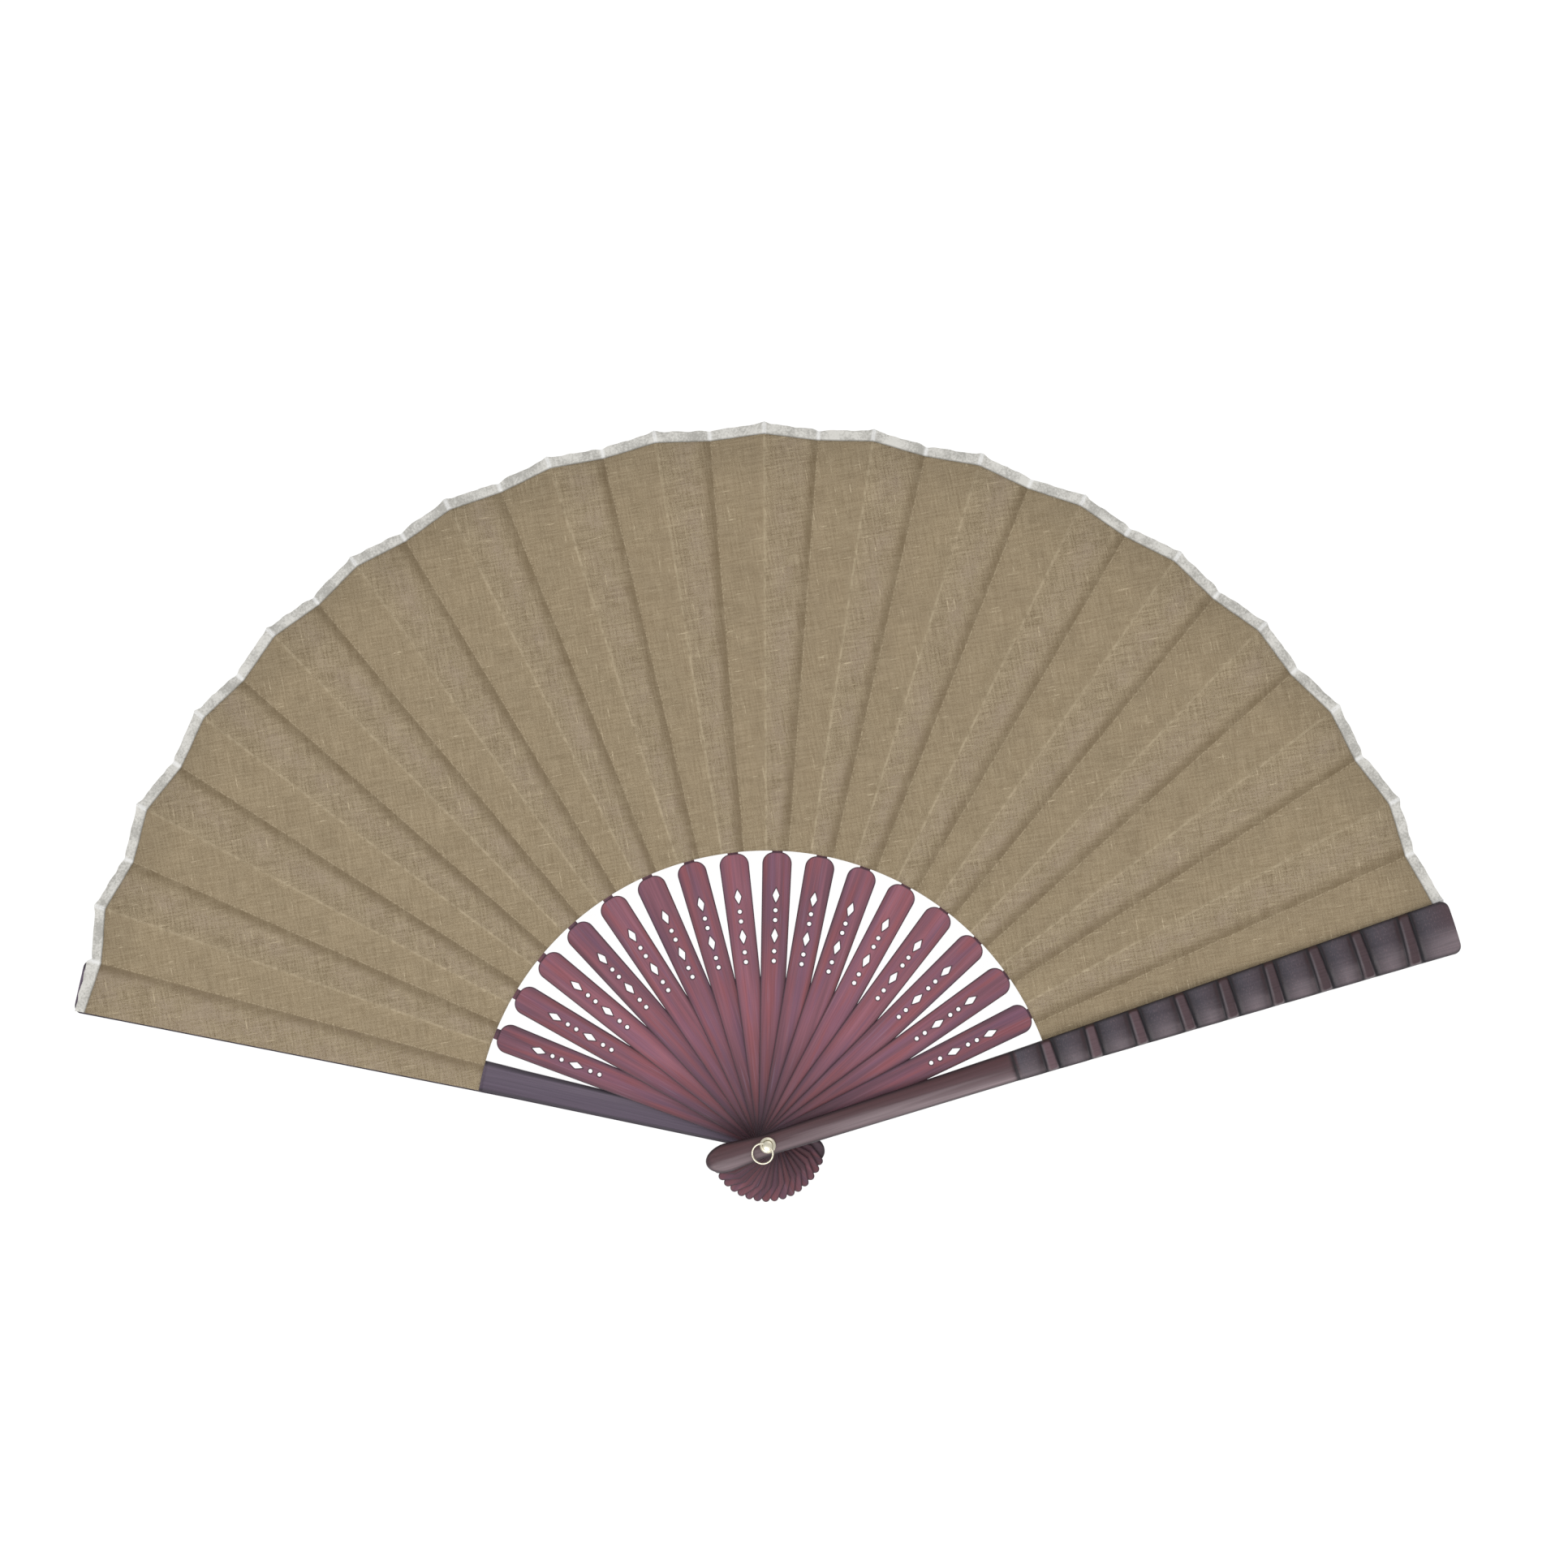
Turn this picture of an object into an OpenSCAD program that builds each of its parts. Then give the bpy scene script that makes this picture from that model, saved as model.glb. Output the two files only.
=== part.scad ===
// Folding hand fan: pierced bamboo ribs and carved bamboo guards on one rivet, with a pleated
// linen leaf bound along its outer edge. It lies open on its back guard.
// Z is the rivet's axis. The origin is the flat end of the rivet, on the table.

/* [Leaf] */
// Rivet centre to the leaf's edge at a mountain fold, without the binding
leaf_reach = 210; // [170:1:250]
// How much shorter the leaf is at a valley fold
valley_drop = 2.8; // [0:0.1:5]
// Rivet centre to the leaf's inner edge
leaf_inner = 87; // [70:1:105]
// Thickness of the linen
cloth_thick = 0.2; // [0.1:0.05:0.3]
// How far the binding stands out past the linen
binding_width = 2.4; // [1.5:0.1:5]

/* [Ribs] */
// Angle from one rib to the next in the open fan
rib_step = 8.8; // [7:0.1:10]
// Thickness of a rib's blade
blade_thick = 0.8; // [0.5:0.05:1.4]
// Thickness of the thin slip that carries the leaf
slip_thick = 0.35; // [0.25:0.05:0.6]
// Width of the blade at its shoulder
shoulder_width = 8.7; // [7.5:0.1:10.5]
// Radius of the shoulder's corners
shoulder_round = 3.4; // [2:0.1:3.6]
// Width of the blade at the rivet
waist_width = 5.8; // [5:0.1:8]
// Widest part of the rib's tail behind the rivet
tail_width = 7.2; // [6:0.1:9]
// Rivet centre to the end of the rib's tail
tail_reach = 17.5; // [14:0.5:22]
// Radius of the rounded point at the end of the tail
tail_point = 2; // [1:0.1:2.8]
// Width of the slip where it leaves the shoulder
slip_root = 3.2; // [2:0.1:4.5]
// Width of the slip at its far end
slip_end = 2.2; // [1.5:0.1:3]

/* [Piercing] */
// Length of a lozenge hole, along the rib
lozenge_length = 4.1; // [2:0.1:6]
// Width of a lozenge hole
lozenge_width = 1.9; // [1:0.1:3]
// Diameter of a round hole
dot_bore = 1.2; // [0.8:0.1:1.8]

/* [Guards] */
// Thickness of a guard along the leaf
guard_thick = 3.6; // [3:0.1:5]
// How much thinner the guard's handle is than its carved part
handle_drop = 0.8; // [0.4:0.1:1.2]
// Width of the guard at the rivet
guard_waist = 6.4; // [5.6:0.1:8]
// Width of the guard at its head
guard_head_width = 8.5; // [7:0.1:10]
// Width of the guard where the carving starts
guard_mid = 8.8; // [7.5:0.1:10.5]
// Width of the guard at its tip
guard_tip_width = 16.2; // [14:0.1:20]
// Rivet centre to the end of the guard's head
guard_head = 19; // [15:0.5:24]
// Radius of the corners at the guard's tip
tip_round = 2.5; // [1:0.1:5]
// How far the guard's tip stands out past the linen
tip_past_leaf = 2; // [0:0.1:4]
// How far the carving starts short of the leaf's inner edge
carving_lead = 11.6; // [5:0.1:20]
// Distance from one raised land of the carving to the next
land_pitch = 13.9; // [10:0.1:18]
// Width of a raised land
land_width = 3.2; // [2:0.1:5]
// Depth of the scoops between the lands
scoop_depth = 0.9; // [0.3:0.1:1.4]
// Radius of the handle's rounded back
handle_crown = 7.5; // [6.5:0.1:12]
// Radius of the carved part's rounded back
carving_crown = 20; // [16:0.5:30]

/* [Rivet] */
// Radius of the rivet
rivet_r = 1.4; // [1:0.05:1.6]
// Radius of the washers
washer_r = 2.45; // [2.1:0.05:2.6]
// Height of the rivet's head over the front washer
rivet_head = 1.9; // [1.7:0.1:2.6]
// Radius of the cross hole that the ring hangs in
ring_hole_r = 0.6; // [0.5:0.05:0.65]
// Radius of the ring at the middle of its wire
ring_r = 3.05; // [2.6:0.05:4]
// Radius of the ring's wire
ring_wire_r = 0.28; // [0.2:0.02:0.3]

/* [Clearances] */
// Radial clearance of the rivet in the ribs and guards
rivet_clearance = 0.05; // [0.02:0.01:0.1]
// Radial clearance round a washer in its seat
seat_clearance = 0.3; // [0.1:0.05:0.5]
// Gap between parts that slide over each other
slide_gap = 0.1; // [0.08:0.01:0.2]
// How far the leaf's two ends stay inside the guards' edges
edge_inset = 0.4; // [0:0.1:1]
// Gap that keeps the binding and the linen two solids
seam_gap = 0.02; // [0.01:0.01:0.05]

/* [Hidden] */
$fn = 64;
// Ribs between the two guards
rib_count = 16;
// The front guard's place in the count of sticks, where the back guard is 0
front = rib_count + 1;

// Layers: every stick and every piece of the leaf turns in its own layer
layer_pitch = max(slip_thick + 2 * cloth_thick + 2 * slide_gap, blade_thick + slide_gap);
first_rib_z = guard_thick + cloth_thick + 2 * slide_gap + cloth_thick;
front_inner_z = first_rib_z + (rib_count - 1) * layer_pitch
    + max(slip_thick + 3 * cloth_thick + 2 * slide_gap, blade_thick + slide_gap);
handle_thick = guard_thick - handle_drop;
washer_thick = handle_drop;
front_washer_z = front_inner_z + handle_thick + slide_gap;
rivet_top_z = front_washer_z + washer_thick + rivet_head;
// How far each guard's handle stands past its leaf side, to close up to the ribs
back_fill = first_rib_z - slide_gap - guard_thick;
front_fill = front_inner_z - (first_rib_z + (rib_count - 1) * layer_pitch + blade_thick + slide_gap);

// Leaf
fold_half = rib_step / 4;
valley_reach = leaf_reach - valley_drop;

// Rib
shoulder_reach = leaf_inner - 1;
slip_reach = valley_reach - 2;
slip_root_x = shoulder_reach - 3;
tail_widest_x = 12.5;
// Distances from the shoulder's end down to each hole
lozenge_places = [12.8, 24.7];
dot_places = [17.2, 20.1, 29.3, 32.2];

// Guard
guard_reach = leaf_reach + tip_past_leaf;
carving_start = leaf_inner - carving_lead;
first_land = leaf_inner - 0.3;
land_count = floor((guard_reach - land_width * 2 - first_land) / land_pitch) + 1;
scoop_width = land_pitch - land_width;
scoop_r = (pow(scoop_width / 2, 2) + pow(scoop_depth, 2)) / (2 * scoop_depth);
// Height of crown cut off the lands, so that the fan rests on flats
rest_flat = 0.15;
// Where the handle's inner face steps back for the leaf
fill_end = leaf_inner - 0.6;
// Slope of the handle's back from the washer up to the carving
handle_slope = atan2(handle_drop, carving_start);

// Rivet and ring
bore_r = rivet_r + rivet_clearance;
ring_hole_z = front_washer_z + washer_thick + rivet_head / 2;
// Direction in which the ring lies, and how far it slopes down
ring_heading = 235;
ring_slope = 12;
// The curved wire is centred in the straight hole
ring_bow = ring_r - sqrt(pow(ring_r, 2) - pow(rivet_r, 2));
ring_offset = ring_r - ring_bow / 2;

// Names
function two(n) = n < 10 ? str("0", n) : str(n);
function rib_name(k) = str("rib_", two(k));
function panel_name(k) =
    k == 0 ? "leaf_panel_back_guard" : k == front ? "leaf_panel_front_guard" : str("leaf_panel_", two(k));
function pleat_name(k) = str("leaf_pleat_", two(k));

// Angle of stick k from +X in the open fan
function stick_angle(k) = 90 + (front / 2 - k) * rib_step;
// Height of rib k's underside
function rib_z(k) = first_rib_z + (k - 1) * layer_pitch;
// Height of the underside of the linen that is glued to stick k
function panel_z(k) =
    k == 0 ? guard_thick : k == front ? front_inner_z - cloth_thick : rib_z(k) + slip_thick;
// Width of a guard at a distance from the rivet
function guard_width(x) =
    x < carving_start
    ? guard_waist + (guard_mid - guard_waist) * x / carving_start
    : guard_mid + (guard_tip_width - guard_mid) * (x - carving_start) / (guard_reach - carving_start);
// A point at a radius and an angle
function polar(r, a) = [r * cos(a), r * sin(a)];
// A point moved away from the rivet
function outward(p, d) = p * (norm(p) + d) / norm(p);
// The two ends of a fold's line, at the leaf's inner and outer edges
function fold_line(angle, reach) = [polar(leaf_inner, angle), polar(reach, angle)];
// The two ends of the leaf's own end, along one edge of a guard
function end_line(side) =
    [for (x = [leaf_inner, leaf_reach]) [x, side * (guard_width(x) / 2 - edge_inset)]];

module along(k) {
    rotate([0, 0, stick_angle(k)]) children();
}

// A tapering bar along X from x0 to x1
module taper(x0, w0, x1, w1) {
    polygon([[x0, -w0 / 2], [x1, -w1 / 2], [x1, w1 / 2], [x0, w0 / 2]]);
}

module lozenge(x) {
    polygon([
        [x - lozenge_length / 2, 0],
        [x, -lozenge_width / 2],
        [x + lozenge_length / 2, 0],
        [x, lozenge_width / 2]
    ]);
}

// Rounded point of the tail: two straight sides that end in an arc
module tail_end() {
    centre_x = tail_reach - tail_point;
    run = centre_x - tail_widest_x;
    rise = tail_width / 2;
    // Where a line from the widest point touches the arc
    reach = sqrt(run * run + rise * rise);
    touch = atan2(rise, -run) - acos(tail_point / reach);
    polygon([
        [-tail_widest_x, -rise],
        [-tail_widest_x, rise],
        [-centre_x - tail_point * cos(touch), tail_point * sin(touch)],
        [-centre_x - tail_point * cos(touch), -tail_point * sin(touch)]
    ]);
    translate([-centre_x, 0]) circle(tail_point);
}

module blade_outline() {
    corner_x = shoulder_reach - shoulder_round;
    taper(-0.01, waist_width, corner_x, shoulder_width);
    taper(-tail_widest_x, tail_width, 0, waist_width);
    tail_end();
    for (side = [-1, 1])
        translate([corner_x, side * (shoulder_width / 2 - shoulder_round)]) circle(shoulder_round);
    taper(corner_x - 1, shoulder_width - 2 * shoulder_round,
        shoulder_reach, shoulder_width - 2 * shoulder_round);
}

module rib(k) {
    color("#7c4c58")
    along(k) translate([0, 0, rib_z(k)]) difference() {
        union() {
            linear_extrude(blade_thick) blade_outline();
            linear_extrude(slip_thick) taper(slip_root_x, slip_root, slip_reach, slip_end);
        }
        translate([0, 0, -1]) cylinder(r = bore_r, h = blade_thick + 2);
        for (d = dot_places)
            translate([shoulder_reach - d, 0, -1]) cylinder(d = dot_bore, h = blade_thick + 2);
        for (d = lozenge_places)
            translate([0, 0, -1]) linear_extrude(blade_thick + 2) lozenge(shoulder_reach - d);
    }
}

// The handle's outline from the head to a distance x past the rivet
module handle_outline(x) {
    head_r = guard_head_width / 2;
    head_x = guard_head - head_r;
    translate([-head_x, 0]) circle(head_r);
    taper(-head_x, guard_head_width, 0, guard_waist);
    taper(-0.01, guard_waist, x, guard_width(x));
}

module carving_outline() {
    corner_x = guard_reach - tip_round;
    corner_y = guard_width(corner_x) / 2 - tip_round;
    taper(carving_start, guard_mid, corner_x, guard_width(corner_x));
    for (side = [-1, 1]) translate([corner_x, side * corner_y]) circle(tip_round);
    taper(corner_x - 1, 2 * corner_y, guard_reach, 2 * corner_y);
}

// The crowned back of the carving, turned about the guard's length: scoops between lands
module carving_back() {
    rotate([0, 90, 0]) rotate_extrude($fn = 180) difference() {
        translate([0, carving_start]) square([carving_crown, guard_reach - carving_start + 1]);
        for (i = [0:land_count])
            translate([carving_crown - scoop_depth + scoop_r, first_land + (i - 0.5) * land_pitch])
                circle(scoop_r, $fn = 180);
    }
}

// A guard along +X, with the side that meets the leaf at z = 0 and its carved back up.
// fill is how far the handle's inner face stands below that.
module guard(fill) {
    difference() {
        union() {
            intersection() {
                linear_extrude(guard_thick + 1) handle_outline(carving_start);
                translate([0, 0, handle_thick - handle_crown]) rotate([0, 90 - handle_slope, 0])
                    translate([0, 0, -2 * guard_head])
                        cylinder(r = handle_crown, h = 2 * guard_head + carving_start + 2, $fn = 180);
            }
            translate([0, 0, -fill]) linear_extrude(fill + handle_thick / 2) handle_outline(fill_end);
            intersection() {
                linear_extrude(guard_thick) carving_outline();
                translate([0, 0, guard_thick + rest_flat - carving_crown]) carving_back();
            }
        }
        translate([0, 0, -fill - 1]) cylinder(r = bore_r, h = guard_thick + fill + 2);
        translate([0, 0, handle_thick]) cylinder(r = washer_r + seat_clearance, h = guard_thick);
    }
}

module back_guard() {
    color("#4a3c44")
    along(0) translate([0, 0, guard_thick]) mirror([0, 0, 1]) guard(back_fill);
}

module front_guard() {
    color("#4a3c44")
    along(front) translate([0, 0, front_inner_z]) guard(front_fill);
}

// One flat piece of linen between two lines, with its strip of binding
module cloth(a, b) {
    linear_extrude(cloth_thick) polygon([a[0], a[1], b[1], b[0]]);
    linear_extrude(cloth_thick)
        polygon([
            outward(a[1], seam_gap),
            outward(a[1], binding_width),
            outward(b[1], binding_width),
            outward(b[1], seam_gap)
        ]);
}

// The linen glued to stick k: a mountain fold on its left, a valley fold on its right
module leaf_panel(k) {
    left = k == 0 ? end_line(1) : fold_line(fold_half, leaf_reach);
    right = k == front ? end_line(-1) : fold_line(-fold_half, valley_reach);
    color("#8c7c60") along(k) translate([0, 0, panel_z(k)]) cloth(left, right);
}

// The free linen from stick k - 1 to stick k
module leaf_pleat(k) {
    color("#857558") along(k - 1) translate([0, 0, panel_z(k - 1) + cloth_thick + slide_gap])
        cloth(fold_line(-fold_half, valley_reach), fold_line(-3 * fold_half, leaf_reach));
}

// Rivet from the table to its domed head, with the ring's cross hole
module rivet() {
    dome_r = 3 * rivet_r;
    color("#cfc6ae") difference() {
        union() {
            cylinder(r = rivet_r, h = rivet_top_z - dome_r);
            intersection() {
                cylinder(r = rivet_r, h = rivet_top_z);
                translate([0, 0, rivet_top_z - dome_r]) sphere(dome_r);
            }
        }
        translate([0, 0, ring_hole_z]) rotate([90, 0, ring_heading])
            cylinder(r = ring_hole_r, h = 4 * rivet_r, center = true);
    }
}

module washer() {
    difference() {
        cylinder(r1 = washer_r, r2 = washer_r - washer_thick / 2, h = washer_thick);
        translate([0, 0, -1]) cylinder(r = bore_r, h = washer_thick + 2);
    }
}

module back_washer() {
    color("#cfc6ae") translate([0, 0, washer_thick]) mirror([0, 0, 1]) washer();
}

module front_washer() {
    color("#cfc6ae") translate([0, 0, front_washer_z]) washer();
}

module tassel_ring() {
    color("#cfc6ae")
    translate([0, 0, ring_hole_z]) rotate([0, ring_slope, ring_heading]) translate([ring_offset, 0, 0])
        rotate_extrude() translate([ring_r, 0]) circle(ring_wire_r);
}

back_guard();
front_guard();
rivet();
back_washer();
front_washer();
tassel_ring();
for (k = [1:rib_count]) rib(k);
for (k = [0:front]) leaf_panel(k);
for (k = [1:front]) leaf_pleat(k);
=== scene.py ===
"""Looks of the folding hand fan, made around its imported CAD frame.

Lengths in the named values below are in millimetres, and a mesh is put in metres when it is made.
"""

import functools
import math

import bpy
import numpy as np
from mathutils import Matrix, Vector
from mathutils.geometry import tessellate_polygon


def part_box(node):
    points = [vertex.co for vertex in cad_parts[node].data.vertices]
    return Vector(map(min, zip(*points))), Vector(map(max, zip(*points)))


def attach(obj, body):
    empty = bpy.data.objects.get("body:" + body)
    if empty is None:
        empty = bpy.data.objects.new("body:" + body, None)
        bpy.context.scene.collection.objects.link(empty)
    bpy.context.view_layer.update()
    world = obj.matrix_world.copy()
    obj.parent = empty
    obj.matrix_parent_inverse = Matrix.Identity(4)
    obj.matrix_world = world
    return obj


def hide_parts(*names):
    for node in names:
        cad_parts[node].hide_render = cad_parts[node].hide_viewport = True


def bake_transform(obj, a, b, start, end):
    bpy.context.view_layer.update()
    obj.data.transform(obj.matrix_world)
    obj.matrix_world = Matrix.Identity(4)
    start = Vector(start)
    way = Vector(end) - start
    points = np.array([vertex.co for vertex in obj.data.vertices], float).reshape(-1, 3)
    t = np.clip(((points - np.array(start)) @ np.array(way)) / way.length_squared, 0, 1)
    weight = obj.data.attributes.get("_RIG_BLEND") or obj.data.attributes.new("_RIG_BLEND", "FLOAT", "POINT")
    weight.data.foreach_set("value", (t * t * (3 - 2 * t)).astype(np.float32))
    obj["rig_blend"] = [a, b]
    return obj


bl_info = {
    "name": "Folding hand fan",
    "version": (1, 0, 0),
    "blender": (4, 5, 0),
    "location": "3D View > Sidebar > Fan",
    "description": "Builds the looks of a bamboo and linen folding fan around its CAD frame",
    "category": "Object",
}

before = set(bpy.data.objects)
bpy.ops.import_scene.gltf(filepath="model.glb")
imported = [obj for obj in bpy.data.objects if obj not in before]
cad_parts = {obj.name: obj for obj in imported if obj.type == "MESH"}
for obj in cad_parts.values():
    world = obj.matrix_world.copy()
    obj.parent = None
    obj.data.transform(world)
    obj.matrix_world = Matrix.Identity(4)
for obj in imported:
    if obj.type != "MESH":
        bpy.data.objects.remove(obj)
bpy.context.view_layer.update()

MM = 0.001
TAU = 2 * math.pi

# Sticks are counted from the back guard, 0, through the ribs to the front guard
LAST = 17
STEP = 8.8
FIRST_ANGLE = 90 + LAST / 2 * STEP
# A stick's mountain fold lies this far left of its middle, and its valley fold as far right
FOLD = STEP / 4
MIDDLE = LAST / 2


def linear(colour):
    """The linear RGB of an sRGB hex colour."""
    part = np.array([int(colour[i : i + 2], 16) / 255 for i in (1, 3, 5)])
    return tuple(np.where(part <= 0.04045, part / 12.92, ((part + 0.055) / 1.055) ** 2.4).tolist())


def length(name, description, millimetres):
    """A length that the user may change, given in millimetres."""
    return bpy.props.FloatProperty(
        name=name, description=description, default=millimetres * MM, min=0, unit="LENGTH", precision=5
    )


def colour(name, description, value):
    """A colour that the user may change, given as sRGB hex."""
    return bpy.props.FloatVectorProperty(
        name=name, description=description, default=linear(value), subtype="COLOR", min=0, max=1
    )


class FanSizes(bpy.types.PropertyGroup):
    """Sizes that the CAD frame leaves to the looks, and those that both share."""

    leaf_reach: length("Leaf reach", "Rivet to the leaf's edge at a mountain fold", 210)
    valley_drop: length("Valley drop", "How much shorter the leaf is at a valley fold", 2.8)
    leaf_inner: length("Leaf inner edge", "Rivet to the leaf's inner edge", 87)
    cloth_thick: length("Linen thickness", "Thickness of the linen", 0.2)
    fold_height: length("Fold height", "How far a fold stands above or below its rib", 1.2)
    binding_width: length("Binding width", "How far the binding stands out past the linen", 2.75)
    binding_pinch: length("Binding pinch", "How much narrower the binding is at a valley fold", 0.4)
    blade_bevel: length("Rib edge", "Rounding of a rib's edges", 0.12)
    groove_depth: length("Groove depth", "Depth of the grooves beside the guards' lands", 1.0)
    scrape_depth: length("Scrape depth", "Depth of the scraped fields between the lands", 0.55)


class FanColours(bpy.types.PropertyGroup):
    """Colours of the fan's materials."""

    linen: colour("Linen", "Middle tone of the linen", "#8f7e63")
    linen_light: colour("Linen slubs", "Thick pale yarns and worn fold lines", "#b9a98d")
    linen_shade: colour("Linen shade", "Gaps between the yarns and the bottoms of the folds", "#66553b")
    linen_grey: colour("Linen over a slip", "Tint where a rib's slip lies behind the linen", "#938375")
    binding: colour("Binding", "Cotton tape along the edge", "#d2d0ca")
    binding_grey: colour("Binding mottle", "Thin places in the tape", "#a9a7a1")
    binding_crease: colour("Binding creases", "Clean cloth on the creases of the tape", "#f2f2f1")
    binding_hem: colour("Binding hem", "Shade under the tape's edge on the linen", "#5f5a50")
    rib_dark: colour("Rib, dark", "Darkest plum of the dyed ribs", "#66414f")
    rib_light: colour("Rib, light", "Reddest plum of the dyed ribs", "#925b68")
    rib_russet: colour("Rib, russet", "Where red-brown shows in the dye", "#8d4b50")
    rib_violet: colour("Rib, violet", "Where the dye is bluer", "#735069")
    # Dark rib edges: gathered dye and painted shade on their rounding
    rib_edge_dye_and_shade: colour("Rib edges", "Burnt edges of the ribs and their holes", "#35242e")
    # Painted highlight: pale bluish glints along the ribs' grain
    rib_glint: colour("Rib, lifted lacquer", "Bluish lines where the lacquer has lifted", "#8b7f96")
    guard: colour("Guard", "Stained skin of the guards", "#584549")
    # Painted highlight: the handle's pale side and the fields' pinkish side
    guard_painted_highlight: colour("Guard, rubbed", "Pale side of the handle", "#8c7c80")
    # Red stain with painted shade, on the handle's dark side
    guard_stain_and_shade: colour("Guard, stained", "Red side of the handle", "#4a2b2e")
    guard_land: colour("Guard lands", "Rubbed lands between the grooves", "#5e494f")
    guard_field: colour("Guard fields", "Scraped fields between the lands", "#48434b")
    # Painted shade in the grooves, beside the lands and along the guards' edges
    guard_shade: colour("Guard grooves", "Bottoms of the grooves", "#1f1c21")
    # Painted highlight on the cut slopes beside the lands
    guard_chamfer_highlight: colour("Guard chamfers", "Pale cut edges beside the grooves", "#7f7a80")
    guard_inside: colour("Guard, inner face", "Plain inner face of a guard", "#5a5060")
    guard_inside_head: colour("Guard, inner head", "The same at the head, where more red shows", "#503b46")
    guard_fleck: colour("Guard scraper marks", "Pale flecks across the scraped fields", "#8d777b")
    metal: colour("Rivet metal", "Nickel plate with a warm cast", "#d9d3c0")
    metal_dull: colour("Rivet metal, dulled", "Where the plate is worn and warm", "#a89a7c")
    floor: colour("Floor", "Glow of the pale sheet under the fan", "#fbfbfb")
    floor_body: colour("Floor body", "The sheet's own grey, under its glow", "#5c5c5c")


def stick_name(k):
    return "back_guard" if k == 0 else "front_guard" if k == LAST else f"rib_{k:02d}"


def panel_name(k):
    return f"leaf_panel_{stick_name(k) if k in (0, LAST) else f'{k:02d}'}"


def low_z(name):
    """Height of a CAD node's underside, in millimetres."""
    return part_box(name)[0].z / MM


def turned(points, degrees):
    """Points turned about the rivet's axis, anticlockwise seen from above."""
    c, s = np.cos(np.radians(degrees)), np.sin(np.radians(degrees))
    x, y, z = np.moveaxis(np.asarray(points, float), -1, 0)
    return np.stack([x * c - y * s, x * s + y * c, z], -1)


def on_stick(k, points):
    """Points given along stick k, put where the open fan holds it."""
    return turned(points, FIRST_ANGLE - k * STEP)


def grid_faces(rows, columns, closed=False):
    """Quads of a rows x columns grid of points; a closed grid joins its last column to its first."""
    here = np.arange(rows * columns).reshape(rows, columns)
    right = np.roll(here, -1, 1) if closed else here[:, 1:]
    here = here if closed else here[:, :-1]
    quads = np.stack([here[:-1], right[:-1], right[1:], here[1:]], -1)
    return quads.reshape(-1, 4).tolist()


def tube_faces(rows, columns):
    """Faces of a tube's wall, and of its two flat ends."""
    ring = np.arange(columns)
    ends = [ring[::-1].tolist(), ((rows - 1) * columns + ring).tolist()]
    return [face[::-1] for face in grid_faces(rows, columns, closed=True)], ends


def polar(r, degrees, z):
    """Points at a distance r from the rivet's axis, at an angle from the stick's middle and a height."""
    return np.stack([r * np.cos(np.radians(degrees)), r * np.sin(np.radians(degrees)), z], -1)


def make_piece(name, points, faces, material, attributes=None, smooth=True):
    """A mesh object at the origin from points in millimetres; attributes are vectors, one a point."""
    mesh = bpy.data.meshes.new(name)
    mesh.from_pydata((np.asarray(points, float).reshape(-1, 3) * MM).tolist(), [], faces)
    mesh.update()
    for label, values in (attributes or {}).items():
        made = mesh.attributes.new(label, "FLOAT_VECTOR", "POINT")
        made.data.foreach_set("vector", np.asarray(values, np.float32).reshape(-1, 3).ravel())
    mesh.materials.append(material)
    mesh.polygons.foreach_set("use_smooth", [smooth] * len(mesh.polygons))
    piece = bpy.data.objects.new(name, mesh)
    bpy.context.scene.collection.objects.link(piece)
    return piece


def ripple(x, y, seed):
    """A calm unevenness from -1 to 1: the mean of four sine waves in different directions."""
    turn = np.array([0.3, 1.7, 2.9, 4.4]) + seed
    pitch = np.array([1.0, 1.7, 2.3, 3.1])
    waves = [np.sin(p * (x * math.cos(t) + y * math.sin(t)) + 5 * t) for t, p in zip(turn, pitch)]
    return sum(waves) / len(waves)


# ---------------------------------------------------------------- materials


def wire(tree, kind, inputs=(), out=0, **settings):
    """Adds one node, sets it, links or sets its inputs, and gives one of its outputs.

    The inputs are a dict by name, or a tuple in the order of the sockets in use, such as value, from low,
    from high, to low and to high for a Map Range, or factor, A and B for a Mix.
    """
    made = tree.nodes.new("ShaderNode" + kind)
    for name, value in settings.items():
        setattr(made, name, value)
    if not isinstance(inputs, dict):
        inputs = dict(zip([i for i, socket in enumerate(made.inputs) if socket.enabled], inputs))
    for key, value in inputs.items():
        socket = made.inputs[key]
        if isinstance(value, bpy.types.NodeSocket):
            tree.links.new(value, socket)
        else:
            socket.default_value = rgba(value) if socket.type == "RGBA" else value
    return [socket for socket in made.outputs if socket.enabled][out]


def blank(name, **sockets):
    """A material with one Principled shader and its uniform values, and the call that adds a node to it."""
    material = bpy.data.materials.new(name)
    material.use_nodes = True
    shader = material.node_tree.nodes["Principled BSDF"]
    for key, value in sockets.items():
        shader.inputs[key.replace("_", " ")].default_value = value
    return material, functools.partial(wire, material.node_tree), shader


def feed(shader, **sockets):
    """Links nodes' outputs to a shader's sockets."""
    for key, value in sockets.items():
        shader.id_data.links.new(value, shader.inputs[key.replace("_", " ")])


def rgba(value):
    return (*value, 1.0)


def stretched(add, source, x, y, z=1.0, shift=0.0):
    """A vector divided by a feature's size in millimetres along each axis."""
    scaled = add("VectorMath", (source, (1 / x, 1 / y, 1 / z)), operation="MULTIPLY")
    return add("VectorMath", (scaled, (shift, 1.7 * shift, 0)), operation="ADD")


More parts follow.
